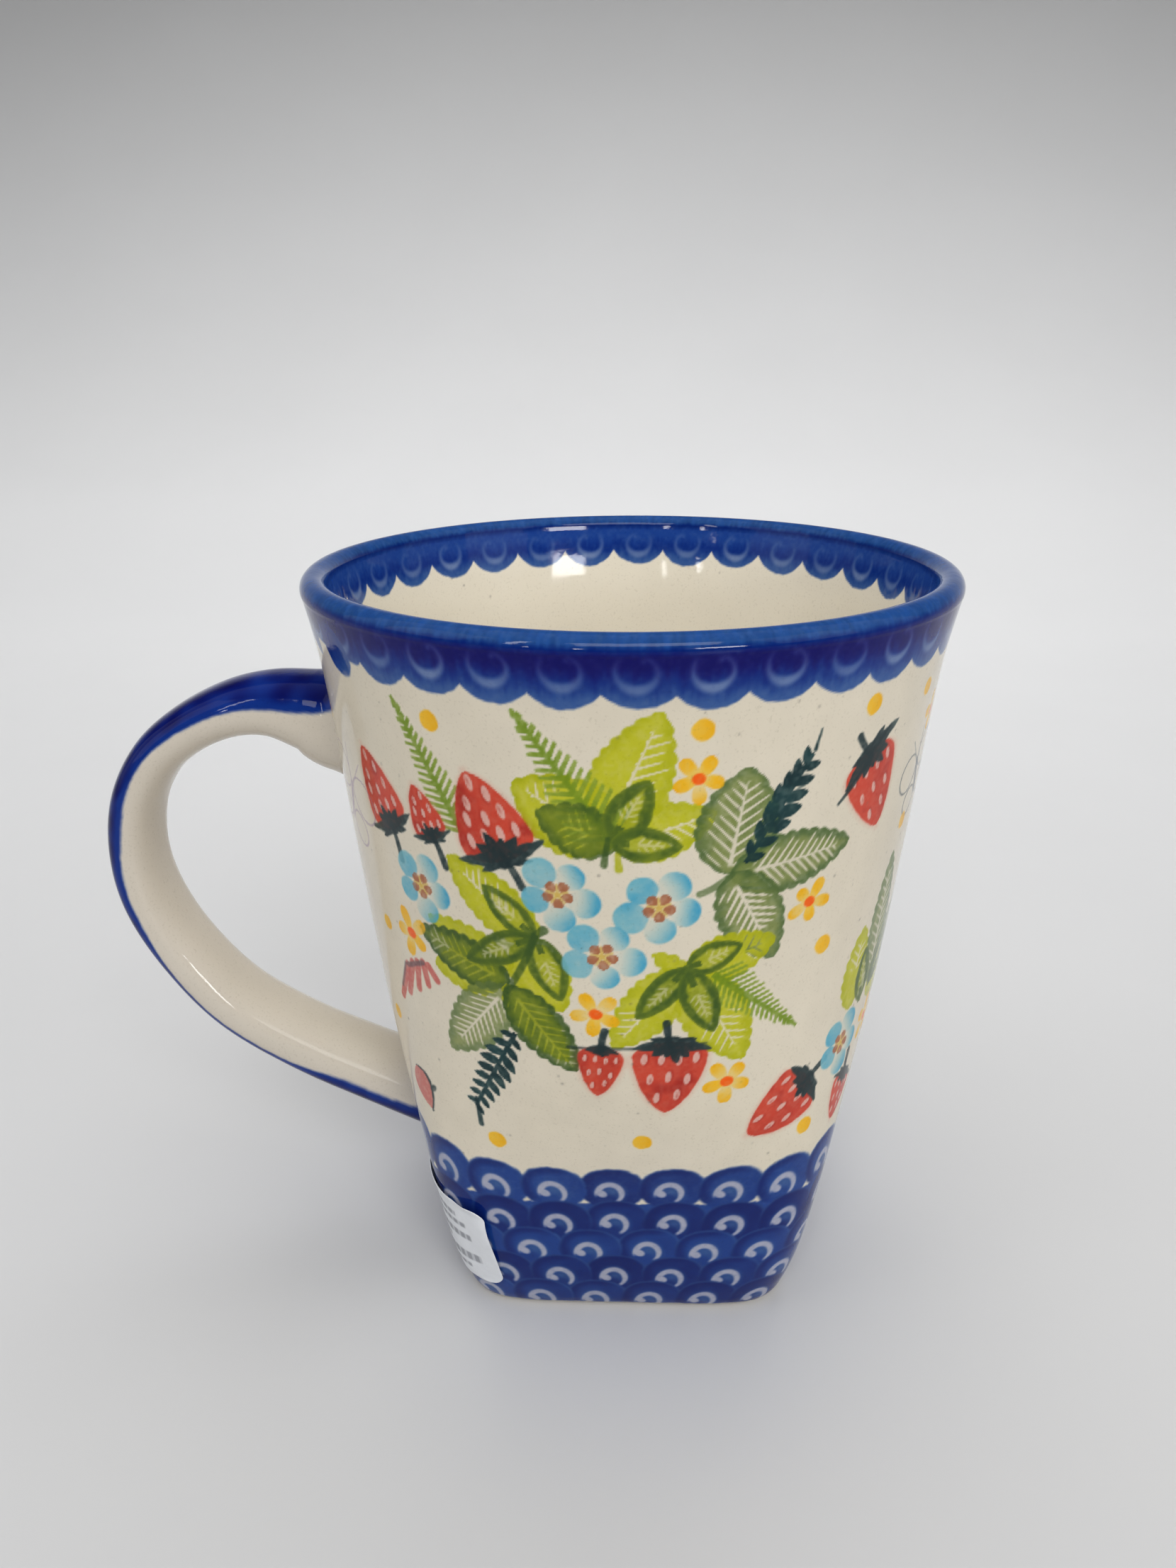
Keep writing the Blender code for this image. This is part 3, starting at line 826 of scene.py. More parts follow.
def side_scene(wall):
    """What fills the cup between two bouquets: more berries, a leaf pair, flowers, a butterfly."""
    leaf(wall, (-38.6, 57), (-37.4, 71), 7.0, LIME_LEAF, (0.5, 0.8, 0), seed=0.6)
    leaflet(wall, (-33.5, 56.8), (-34.6, 66.5), 4.6, 1.1, body_strength=0.6)
    leaf(wall, (-30, 56.5), (-17, 62), 7.4, LIME_LEAF, (0.3, 0.8, 0), seed=0.1)
    leaf(wall, (-29, 58.5), (-30, 81), 7.6, OLIVE_LEAF, (0.15, 0.85, 0), 0.7, 0.85, 1.6, seed=0.3)
    leaf(wall, (-29, 58), (-14, 72.5), 7.6, OLIVE_LEAF, (0.15, 0.85, 0), 0.7, 0.85, 1.6, seed=0.8)
    leaflet(wall, (-29, 58), (-20, 66), 4.6, 1.1)
    strawberry(wall, (-50.8, 48.3), (-63.8, 41.7), (-45.2, 50.6), 10.6, HEART_SEEDS, 0.9, crown=0.8)
    strawberry(wall, (-35.4, 44.2), (-39.6, 37.4), (-34.6, 48.2), 6.4, SMALL_SEEDS, 0.62)
    strawberry(wall, (-46.8, 99.6), (-41.2, 88.2), (-50.4, 102.8), 10.4, HEART_SEEDS, 0.85, 22)
    strawberry(wall, (-12, 92), (-9, 79.5), (-14, 96), 9.4, BIG_SEEDS, 1.0, 10)
    stroke(wall, (-46.6, 99.4), (-53.2, 93.8), 0.5, CALYX, -0.25, 0.9, 0.1)
    stroke(wall, (-47, 99.8), (-42.6, 103.0), 0.5, CALYX, -0.25, 0.9)
    blue_flower(wall, (-39.8, 51.5), 5.4, 60, 0.9)
    blue_flower(wall, (-9, 54), 5.6, 20, 2.9)
    orange_flower(wall, (-27, 51.5), 3.5, 80, 0.9)
    orange_flower(wall, (-22, 101), 3.3, 30, 2.2)
    sprig(wall, (-20, 40.5), (-8, 47.5), 6, 3.4, 50, 60, 0.12)
    butterfly(wall, (-24.5, 91.5), 8.0, 20, INK)
    for place in ((-28.5, 85.5), (-14, 107), (-3, 64), (-24, 40), (-4, 72), (-30, 106)):
        dot(wall, place, 1.3, 1.25)


def under_handle(wall):
    """Loose motifs on the wall behind the handle."""
    butterfly(wall, (-153, 88), 9.5, -25, WING, 0.6)
    stripe_tops = ((-138.8, 64.8), (-136.8, 65.8), (-134.9, 66.4), (-133.0, 66.9), (-131.3, 66.8))
    stripe_ends = ((-143.2, 58.0), (-139.7, 59.8), (-135.7, 61.8), (-132.3, 63.4), (-129.3, 65.0))
    melon_slice(wall, stripe_tops, stripe_ends, 0.72)
    melon_wedge(wall, (-142.4, 45.4), (-137.0, 39.4), 5.4)
    orange_flower(wall, (165, 70), 3.5, 20, 1.0)
    orange_flower(wall, (-168, 62), 3.4, 100, 2.0)
    blue_flower(wall, (-166, 47), 5.2, 30, 2.0)
    blue_flower(wall, (172, 58), 5.2, 70, 1.2)
    leaf(wall, (158, 48), (149, 60), 7.0, LIME_LEAF, (0.3, 0.8, 0))
    strawberry(wall, (156, 88), (150, 78), (158, 92), 8.0, BIG_SEEDS, 0.85)
    fern(wall, (-176, 40), (-170, 54), 6.5)
    for place in ((-145, 70), (-148.5, 53), (160, 104), (-160, 100), (176, 79), (160, 66), (-178, 106)):
        dot(wall, place, 1.25, 1.2)


# Heights of the scallops' tips and of the band's top, and the number of scallops round the cup.
BAND_TIPS = 109.8
BAND_TOP = 117.6
BAND_SCALLOPS = 34
LINING_TIPS = 110.4
LINING_TOP = 117.8
LINING_SCALLOPS = 30
BAND_RADIUS = 47.3
SCALLOP_RADIUS = 5.6


def scallop_swirl(wall, place, size, strength):
    """A soft pale hook, brightest at the bottom, that runs up both sides and curls in at its top."""
    patch, around, up = wall.near(place, size * 1.8)
    radius = np.hypot(around, up)
    angle = (np.degrees(np.arctan2(up, around)) - 110) % 360 + 110
    curve = size * (1 - 0.42 * ease(320, 470, angle))
    thickness = size * (0.12 + 0.13 * bump(angle - 272, 55))
    hook = inside(np.abs(radius - curve), thickness, size * 0.36)
    ends = ease(125, 175, angle) * (1 - ease(405, 450, angle))
    glow = 0.30 + 0.70 * bump(angle - 272, 75)
    curl = inside(np.hypot(around - 0.30 * size, up - 0.45 * size), 0.12 * size, size * 0.34)
    mask = np.maximum(hook * ends * glow, 0.35 * curl) * strength
    patch.paint(mask, SWIRL_BLUE, 0.12)


def scalloped_band(wall, tip_level, lip_level, lobes, phase, seed, deepest, swirl_rise, swirl_size):
    """The blue band under the lip, with hanging scallops, brush streaks and a soft hook in each."""
    levels = wall.levels
    tip_rise = np.interp(tip_level, levels, wall.rise)
    lip_rise = np.interp(lip_level, levels, wall.rise)
    up = (wall.rise - tip_rise) * wall.upward
    depth = (lip_rise - tip_rise) * wall.upward
    rows = np.flatnonzero(up > -1.5)
    angles = wall.angles()
    pitch = math.tau * BAND_RADIUS / lobes
    place = (angles - phase) / 360 * lobes
    offset = (place - np.round(place)) * pitch
    edge = SCALLOP_RADIUS - np.sqrt(np.clip(SCALLOP_RADIUS**2 - offset**2, 0, None))
    wave = 0.25 * np.interp(angles, np.linspace(-180, 180, 37), np.sin(np.arange(37) * 2.4 + seed))
    patch = Patch(wall, np.ix_(rows, np.arange(wall.columns)))
    height = up[rows][:, None] - edge[None, :] * 0.92 - wave[None, :]
    mask = inside(-height + 0.16 * patch.wobble, 0, 0.4)
    lift = up[rows][:, None] / depth
    columns = np.stack(np.broadcast_arrays(angles[None, :], 2.2 * lift, 0 * lift), -1)
    streak = 0.5 * noise(columns, 1.1, seed) + 0.5 * noise(columns, 0.45, seed + 1)
    depth_share = lift + 0.20 * (streak - 0.5) + 0.03 * np.cos(2 * np.pi * place)[None, :]
    body = blend(np.array(BAND_BLUE), np.array(BAND_MID), ease(0.08, 0.45, depth_share)[..., None])
    deep = ease(0.38, 0.74, depth_share) * (0.86 + 0.28 * streak).clip(0, 1)
    body = blend(body, np.array(deepest), deep[..., None])
    fringe = np.exp(-np.clip(height, 0, None) / 0.5)[..., None] * 0.22
    body = blend(body, np.array(FOOT_EDGE), fringe)
    body = blend(body, np.array(LIP_LOW), ease(0.84, 0.96, lift + 0.06 * (streak - 0.5))[..., None])
    lip_tone = np.array(LIP_BLUE) * (0.9 + 0.2 * streak[..., None])
    body = blend(body, lip_tone, ease(0.94, 1.06, lift + 0.05 * (streak - 0.5))[..., None])
    patch.paint(mask * 0.98, body, 0.05)
    for k in range(lobes):
        angle = (phase + 360 / lobes * k + 180) % 360 - 180
        jitter = math.sin(5.3 * k + seed)
        level = np.interp(tip_rise + wall.upward * (swirl_rise + 0.15 * jitter), wall.rise, levels)
        strength = 0.80 + 0.14 * math.sin(2.1 * k + seed)
        scallop_swirl(wall, (angle + 0.25 * jitter, level), swirl_size, strength)


def lone_scallop(wall):
    """Beside the handle the band breaks off, and one slanting scallop hangs there by itself."""
    patch, around, up = wall.near((-142.5, 110.6), 7.5)
    clear = inside(np.abs(around + 1.8) + 0.2 * patch.wobble, 6.8, 0.5)
    clear = clear * inside(up + 0.1 * around, 0.9, 0.5)
    patch.paint(clear, CREAM, 0.0)
    right, rise = around + 1.6, up - 1.5
    u, v = right * 0.80 - rise * 0.60, right * 0.60 + rise * 0.80  # along and across the blob
    blob = inside(np.hypot(u / 4.3, v / 3.1) + 0.05 * patch.wobble, 1.0, 0.12)
    shade = 0.30 - 0.16 * u + 0.5 * (patch.pool - 0.5)
    patch.paint(blob * 0.97, shades(BAND_BLUE, BAND_MID, shade + 0.35), 0.05)


# Height of the swirls' middles in each row of stamps, and the row's shift along the wall.
FOOT_ROWS = ((29.3, -2.4), (21.6, -1.5), (14.8, 3.2), (8.3, -1.8), (2.0, -4.7))
FOOT_PITCH = 8.9
FOOT_FILL_TOP = 27.0


def foot_stamp(wall, place, jitter, density):
    """One fish-scale stamp: a dark rim at its upper left and a pale hooked swirl over a lighter belly."""
    patch, around, up = wall.near(place, 7.2)
    x, y = turned(around, up, math.radians(5 * jitter))
    wobble = patch.wobble
    disc = (np.abs((x - 0.35) / 5.0) ** 2.25 + np.abs((y - 1.35) / 4.75) ** 2.25) ** (1 / 2.25)
    body = inside(disc + 0.035 * wobble, 1.0, 0.13)
    tone = shades(FOOT_BLUE, FOOT_DARK, 0.75 * density + 0.5 * (patch.pool - 0.5))
    crescent = ease(0.55, 0.86, disc) * ease(-0.25, 0.6, (0.8 * (y - 1.35) - (x - 0.45)) / 4.6)
    tone = blend(tone, np.array(FOOT_DARK), (0.65 * crescent)[..., None])
    rise = np.clip((y + 1.0) / 4.0, 0, 1)
    tone = blend(tone, np.array(FOOT_EDGE), (0.4 * ease(0.86, 1.0, disc) * rise)[..., None])
    belly = bump(np.hypot(x - 0.25, y - 0.5), 1.35) * (1 - 0.75 * bump(np.hypot(x + 0.1, y + 0.9), 0.9))
    tone = blend(tone, np.array(FOOT_LIGHT), (0.75 * belly)[..., None])
    patch.paint(body * 0.98, tone, 0.04)
    x = x / 0.84
    radius = np.hypot(x, y * 0.95)
    angle = np.degrees(np.arctan2(y, x))
    angle = np.where(angle < -100, angle + 360, angle)
    half = 0.58 - 0.26 * (1 - ease(-60, 20, angle)) + 0.08 * ease(120, 180, angle)
    arc = inside(np.abs(radius - 2.15), half, 0.55) * ease(-72, -48, angle) * (1 - ease(176, 205, angle))
    u = (x + 1.55) * 0.87 - (y - 0.05) * 0.5
    v = (x + 1.55) * 0.5 + (y - 0.05) * 0.87
    bulb = inside(np.hypot(u / 1.12, v / 0.80) + 0.05 * wobble, 1.0, 0.55)
    mask = np.maximum(arc, bulb)
    glow = inside(np.abs(radius - 2.15), 1.05, 1.0) * ease(-60, -20, angle) * (1 - ease(170, 210, angle))
    patch.paint(0.28 * glow * body, FOOT_LIGHT, 0.05)
    patch.paint(mask * 0.94, FOOT_SWIRL, 0.10)


def foot_band(wall):
    """Five rows of swirl stamps over a blue wash, each row laid over the one above."""
    rows = np.flatnonzero(wall.levels < FOOT_FILL_TOP + 2)
    patch = Patch(wall, np.ix_(rows, np.arange(wall.columns)))
    fill = inside(wall.levels[rows][:, None] + 0.35 * patch.wobble, FOOT_FILL_TOP, 0.5)
    patch.paint(fill * 0.98, FOOT_BLUE, 0.05)
    front = wall.around_at(-90, np.arange(len(wall.levels)))
    for k, (height, start) in enumerate(FOOT_ROWS):
        row = int(np.searchsorted(wall.levels, height))
        girth = wall.girth[row, -1]
        count = round(girth / FOOT_PITCH)
        for i in range(count):
            jitter = math.sin(12.9 * i + 4.1 * k)
            density = 0.5 + 0.5 * math.sin(5.7 * i + 2.3 * k + 0.6)
            around = (front[row] + start + (i + 0.03 * jitter) * girth / count) % girth
            angle = np.interp(around, wall.girth[row], np.append(wall.angles(), 180.0))
            foot_stamp(wall, (float(angle), height + 0.2 * math.sin(7.7 * i + k)), jitter, density)
    edge_wave = 0.25 * np.abs(np.sin(np.radians(wall.angles()) * 11))
    edge = wall.levels[rows][:, None] - edge_wave[None, :] + 0.15 * patch.wobble
    patch.paint(0.85 * inside(edge, FOOT_LINE + 0.1, 0.4), CLAY, 0.1)


def clay_specks(wall, count, seed):
    """Tiny iron specks and pinholes scattered in the clay."""
    random = np.random.default_rng(seed)
    low, high = wall.rise[0], wall.rise[-1]
    for _ in range(count):
        rise, angle = random.uniform(low, high), random.uniform(-180, 180)
        size, strength = random.uniform(0.10, 0.22), random.uniform(0.15, 0.55)
        place = (angle, float(np.interp(rise, wall.rise, wall.levels)))
        patch, around, up = wall.near(place, 0.9)
        if around.size:
            patch.paint(strength * bump(np.hypot(around, up), size), (0.36, 0.33, 0.29), 0)


# ---------------------------------------------------------------- materials


class Nodes:
    """Short names for making a material's nodes."""

    def __init__(self, name):
        self.material = bpy.data.materials.new(name)
        self.material.use_nodes = True
        self.tree = self.material.node_tree
        self.shader = self.tree.nodes["Principled BSDF"]

    def add(self, kind, **inputs):
        node = self.tree.nodes.new(kind)
        for key, value in inputs.items():
            node.inputs[key.replace("_", " ")].default_value = value
        return node

    def link(self, source, target):
        self.tree.links.new(source, target)

    def noise(self, scale, detail):
        node = self.add("ShaderNodeTexNoise", Scale=scale, Detail=detail, Roughness=0.5)
        self.link(self.coordinates(), node.inputs["Vector"])
        return node.outputs["Fac"]

    def coordinates(self):
        if not hasattr(self, "place"):
            self.place = self.tree.nodes.new("ShaderNodeTexCoord").outputs["Object"]
        return self.place

    def ramp(self, source, low, high, colour_low, colour_high):
        node = self.tree.nodes.new("ShaderNodeValToRGB")
        node.color_ramp.elements[0].position = low
        node.color_ramp.elements[1].position = high
        node.color_ramp.elements[0].color = (*colour_low, 1)
        node.color_ramp.elements[1].color = (*colour_high, 1)
        self.link(source, node.inputs["Fac"])
        return node.outputs["Color"]

    def range(self, source, low, high, to_low, to_high):
        node = self.tree.nodes.new("ShaderNodeMapRange")
        node.inputs["From Min"].default_value = low
        node.inputs["From Max"].default_value = high
        node.inputs["To Min"].default_value = to_low
        node.inputs["To Max"].default_value = to_high
        self.link(source, node.inputs["Value"])
        return node.outputs["Result"]

    def multiply(self, a, b, share=1.0):
        node = self.tree.nodes.new("ShaderNodeMix")
        node.data_type = "RGBA"
        node.blend_type = "MULTIPLY"
        node.inputs[0].default_value = share
        self.link(a, node.inputs[6])
        self.link(b, node.inputs[7])
        return node.outputs[2]

    def bump(self, height, strength, distance, normal=None):
        node = self.add("ShaderNodeBump", Strength=strength, Distance=distance)
        self.link(height, node.inputs["Height"])
        if normal:
            self.link(normal, node.inputs["Normal"])
        return node.outputs["Normal"]

    def paint(self):
        node = self.tree.nodes.new("ShaderNodeAttribute")
        node.attribute_name = "paint"
        return node.outputs["Color"]


GLAZE_SPECULAR = 0.15


def glazed(name):
    """Painted stoneware under a clear, faintly rippled gloss glaze."""
    nodes = Nodes(name)
    cloud = nodes.ramp(nodes.noise(45, 4), 0.3, 0.75, (0.94, 0.935, 0.92), (1.0, 1.0, 1.0))
    fleck = nodes.ramp(nodes.noise(2600, 2), 0.28, 0.42, (0.86, 0.85, 0.83), (1.0, 1.0, 1.0))
    colour = nodes.multiply(nodes.multiply(nodes.paint(), cloud), fleck, 0.7)
    nodes.link(colour, nodes.shader.inputs["Base Color"])
    rough = nodes.ramp(nodes.noise(300, 2), 0.3, 0.8, (0.04,) * 3, (0.085,) * 3)
    nodes.link(rough, nodes.shader.inputs["Roughness"])
    ripple = nodes.bump(nodes.noise(210, 2), 0.10, 0.0006)
    peel = nodes.bump(nodes.noise(1500, 2), 0.05, 0.0001, ripple)
    nodes.link(peel, nodes.shader.inputs["Normal"])
    nodes.shader.inputs["Specular IOR Level"].default_value = GLAZE_SPECULAR
    return nodes.material


def bare_clay(name):
    """Unglazed stoneware with fine sand and dark specks, wiped smooth."""
    nodes = Nodes(name)
    base = nodes.ramp(nodes.noise(160, 5), 0.3, 0.72, linear(CLAY) * 0.86, linear(CLAY))
    speck = nodes.ramp(nodes.noise(1900, 3), 0.30, 0.37, (0.45, 0.40, 0.34), (1.0, 1.0, 1.0))
    nodes.link(nodes.multiply(base, speck, 0.8), nodes.shader.inputs["Base Color"])
    nodes.shader.inputs["Roughness"].default_value = 0.72
    sand = nodes.bump(nodes.noise(2400, 4), 0.35, 0.00012)
    nodes.link(sand, nodes.shader.inputs["Normal"])
    return nodes.material


def label_paper(name):
    """Coated label paper with a faint fibre."""
    nodes = Nodes(name)
    fibre = nodes.ramp(nodes.noise(900, 4), 0.3, 0.8, (0.95, 0.95, 0.95), (1.0, 1.0, 1.0))
    nodes.link(nodes.multiply(nodes.paint(), fibre), nodes.shader.inputs["Base Color"])
    rough = nodes.ramp(nodes.noise(500, 2), 0.3, 0.8, (0.40,) * 3, (0.52,) * 3)
    nodes.link(rough, nodes.shader.inputs["Roughness"])
    nodes.link(nodes.bump(nodes.noise(700, 3), 0.12, 0.00008), nodes.shader.inputs["Normal"])
    return nodes.material


def sweep_paper():
    """White board with a weak blurred reflection, and shade painted into its colour: darker near the front
    and towards the top.
    """
    nodes = Nodes("sweep_paper")
    mottle = nodes.ramp(nodes.noise(9, 4), 0.3, 0.8, linear(SWEEP) * 0.97, linear(SWEEP))
    split = nodes.tree.nodes.new("ShaderNodeSeparateXYZ")
    nodes.link(nodes.coordinates(), split.inputs["Vector"])
    # Painted shade: the board's colour falls off towards the front of the floor and up the back wall.
    floor = nodes.range(split.outputs["Y"], -0.22, 0.42, 0.58, 1.0)
    wall = nodes.range(split.outputs["Z"], 0.05, 0.72, 1.0, 0.15)
    both = nodes.tree.nodes.new("ShaderNodeMath")
    both.operation = "MULTIPLY"
    nodes.link(floor, both.inputs[0])
    nodes.link(wall, both.inputs[1])
    nodes.link(nodes.multiply(mottle, both.outputs[0]), nodes.shader.inputs["Base Color"])
    nodes.shader.inputs["Roughness"].default_value = 0.34
    nodes.shader.inputs["Specular IOR Level"].default_value = 0.35
    return nodes.material


# ---------------------------------------------------------------- pieces


def finish_piece(piece, nodes, material):
    piece.data.materials.append(material)
    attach(piece, "root")
    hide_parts(*nodes)


def column_angles(count):
    return np.radians(np.arange(count) * 360 / count - 180)


# Rows of the underside as shares of its width, the most that its corners reach past its sides,
# and the heights of the rows from there up.
FOOT_SPREAD = np.array([NEARLY_CLOSED, 0.4, 0.8, 1.0])
FOOT_CORNERS = np.array([1.01, 1.1, 1.2, 2.0])
FOOT_HEIGHTS = np.array([0.0, 0.12, 0.35, 0.7, 1.0, 1.3, 1.6, 1.9])
FOOT_COLUMNS = 350


def make_cup():
    angles = column_angles(COLUMNS)
    outer, inner = outer_rows(), inner_rows()
    outer_points = rings(outer[:, 0], outer[:, 1], outer[:, 2], angles)
    inner_points = rings(inner[:, 0], inner[:, 1], inner[:, 2], angles)
    whole = np.concatenate([outer_points, inner_points[1:]])
    normals = grid_normals(whole, True)
    outer_normals, inner_normals = normals[: len(outer)], normals[len(outer) - 1 :]

    levels = outer[:, 2].copy()
    levels[: len(GLAZE_EDGE)] = FOOT_LINE - np.array([0.5, 0.35, 0.2, 0.1])  # kept increasing
    wall = Wall(outer_points, levels, 1, CREAM, 3)
    wall.colour *= (1 + 0.03 * (wall.pool[..., None] - 0.5)).astype(np.float32)
    for wall.turn in (0, 180):
        bouquet(wall)
    wall.turn = 0
    side_scene(wall)
    under_handle(wall)
    clay_specks(wall, 420, 11)
    foot_band(wall)
    scalloped_band(wall, BAND_TIPS, BAND_TOP, BAND_SCALLOPS, -88.5, 5, BAND_DARK, 5.3, 2.55)
    lone_scallop(wall)
    glaze = glazed("painted_glaze")
    finish_piece(
        grid_object("outer_glaze", outer_points, outer_normals, wall.colour),
        ["cup_body"], glaze,
    )

    depths = run_lengths(inner_points)
    lining = Wall(inner_points, depths, -1, np.array(LINING), 8)
    clay_specks(lining, 160, 12)
    tips, top = (float(np.interp(-z, -inner[:, 2], depths)) for z in (LINING_TIPS, LINING_TOP))
    # The lining's band takes a lighter deepest blue than the outside: a painted reflection.
    scalloped_band(lining, tips, top, LINING_SCALLOPS, 88.0, 6, LINING_BLUE_PAINTED_REFLECTION, 4.2, 2.3)
    finish_piece(
        grid_object("inner_glaze", inner_points, inner_normals, lining.colour),
        ["cup_body"], glaze,
    )



def make_foot():
    """The bare clay of the underside, from its middle out, and of the foot's edge up to the glaze."""
    heights = np.concatenate([np.zeros(len(FOOT_SPREAD) - 1), FOOT_HEIGHTS])
    side, corner = outside(heights, -GLAZE)
    flat = slice(len(FOOT_SPREAD))
    side[flat] *= FOOT_SPREAD
    corner[flat] = np.minimum(corner[flat] * FOOT_SPREAD, side[flat] * FOOT_CORNERS)
    angles = column_angles(FOOT_COLUMNS)
    foot = grid_object("foot_clay", rings(side, corner, heights, angles))
    finish_piece(foot, ["cup_body"], bare_clay("bare_clay"))


def spline(table, at):
    """Points of the Catmull-Rom curve through a table's rows."""
    table = np.array(table)
    i = np.clip(np.floor(at).astype(int), 0, len(table) - 2)
    t = (at - i)[:, None]
    before, here = table[np.maximum(i - 1, 0)], table[i]
    there, after = table[i + 1], table[np.minimum(i + 2, len(table) - 1)]
    return 0.5 * (
        2 * here
        + (there - before) * t
        + (2 * before - 5 * here + 4 * there - after) * t**2
        + (3 * here - before - 3 * there + after) * t**3
    )


def buried(row, heading):
    """Further rows that carry each point of the strap's last section straight on into the wall."""
    ahead = np.array((-heading[0], 0.0, heading[1]))
    distance = np.zeros(len(row))
    for _ in range(12):
        points = row + distance[:, None] * ahead
        turn = np.arctan2(points[:, 1], points[:, 0])
        clear = np.hypot(points[:, 0], points[:, 1]) - wall_reach(turn, points[:, 2])
        distance += np.clip(clear + ROOT_DEPTH, 0, None)
    return [row + share * distance[:, None] * ahead for share in np.arange(1, 9) / 8]


def make_handle():
    steps, around = 620, 128
    stations = np.linspace(0.95, len(STRAP) - 1.4, steps)
    places = spline(STRAP, stations)
    heading = np.gradient(places[:, :2], axis=0)
    heading /= np.linalg.norm(heading, axis=1)[:, None]
    travelled = np.concatenate([[0], np.cumsum(np.linalg.norm(np.diff(places[:, :2], axis=0), axis=1))])
    angles = np.arange(around) * math.tau / around
    power = 2 / STRAP_SQUARENESS
    thick = np.sign(np.cos(angles)) * np.abs(np.cos(angles)) ** power
    wide = np.sign(np.sin(angles)) * np.abs(np.sin(angles)) ** power

    def strap(extra):
        out = (places[:, 2:3] + extra) * thick
        side = (places[:, 3:4] + extra) * wide
        x = -(places[:, 0:1] - out * heading[:, 1:2])
        z = places[:, 1:2] + out * heading[:, 0:1]
        return np.stack(np.broadcast_arrays(x, side, z), -1)

    points = strap(0.0)
    for _ in range(3):
        reach = np.hypot(points[..., 0], points[..., 1])
        turn = np.arctan2(points[..., 1], points[..., 0])
        clear = reach - wall_reach(turn, np.clip(points[..., 2], 0, 117))
        t = np.clip(1 - clear / (2.2 * ROOT_FILLET), 0, 1)
        points = strap(ROOT_FILLET * (1 - np.sqrt(1 - (0.92 * t) ** 2)))
    lump = noise(points, 9.0, 21)[..., None] - 0.5
    normals = grid_normals(points, True)
    points = points + 0.10 * lump * normals
    upper = buried(points[0], -heading[0])
    lower = buried(points[-1], heading[-1])
    points = np.concatenate([upper[::-1], points, lower])
    stations = np.pad(stations, (len(upper), len(lower)), mode="edge")
    travelled = np.interp(np.arange(len(points)) - len(upper), np.arange(steps), travelled)
    normals = grid_normals(points, True)

    colour = np.empty(points.shape, np.float32)
    # The strap starts from cream darkened with painted shade.
    colour[:] = HANDLE_CREAM_PAINTED_SHADE
    pool = noise(points, 3.0, 22)
    wobble = noise(points, 1.0, 23) + 0.5 * noise(points, 0.5, 24) - 0.75
    girth = np.degrees(np.angle(np.exp(1j * angles)))[None, :]
    q = (travelled / travelled[-1])[:, None]
    waver = 1.6 * np.sin(travelled * 0.31) + 1.2 * np.sin(travelled * 0.13 + 1)
    half = np.interp(stations, *zip(*STRIPE)) + waver
    stripe = 1 - ease(half[:, None] - 3.5, half[:, None] + 3.5, np.abs(girth) + 1.6 * wobble)
    dark = 0.55 + 0.9 * (pool - 0.45)
    streak = noise(np.stack(np.broadcast_arrays(girth * 0.05, travelled[:, None] * 0.5, q * 0), -1), 1.0, 25)
    thin_edge = ease(-26, -3, np.abs(girth) - half[:, None])
    dark = np.clip(dark + 0.5 * (streak - 0.5) - 0.75 * thin_edge, 0, 1)[..., None]
    tone = blend(np.array(HANDLE_BLUE), np.array(HANDLE_DARK), dark)
    share = (stripe * 0.98)[..., None].astype(np.float32)
    colour = blend(colour, tone, share)
    piece = grid_object("strap_handle", points, normals, colour)
    nodes = ["handle", "upper_slip_joint", "lower_slip_joint"]
    finish_piece(piece, nodes, glazed("handle_glaze_coat"))


LABEL_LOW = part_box("price_label")[0].z / MM
LABEL_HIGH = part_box("price_label")[1].z / MM
LABEL_FRONT_ANGLE = -124.5
LABEL_BACK_ANGLE = -158.0
LABEL_CORNER_RADIUS = 2.2
LABEL_RADIUS = 34  # the wall's distance from the axis behind the label
LABEL_LIFTS = (0.10, 0.24)  # how far the label's two faces stand off the wall
# Height and stretch of each plain printed bar, as shares of the label's half height and width.
LABEL_BARS = (
    (0.62, 0.18, 0.74, 0.055),
    (0.42, 0.12, 0.82, 0.055),
    (0.12, 0.18, 0.84, 0.075),
    (-0.12, 0.14, 0.60, 0.055),
    (-0.42, 0.20, 0.88, 0.10),
    (-0.70, 0.14, 0.76, 0.05),
)


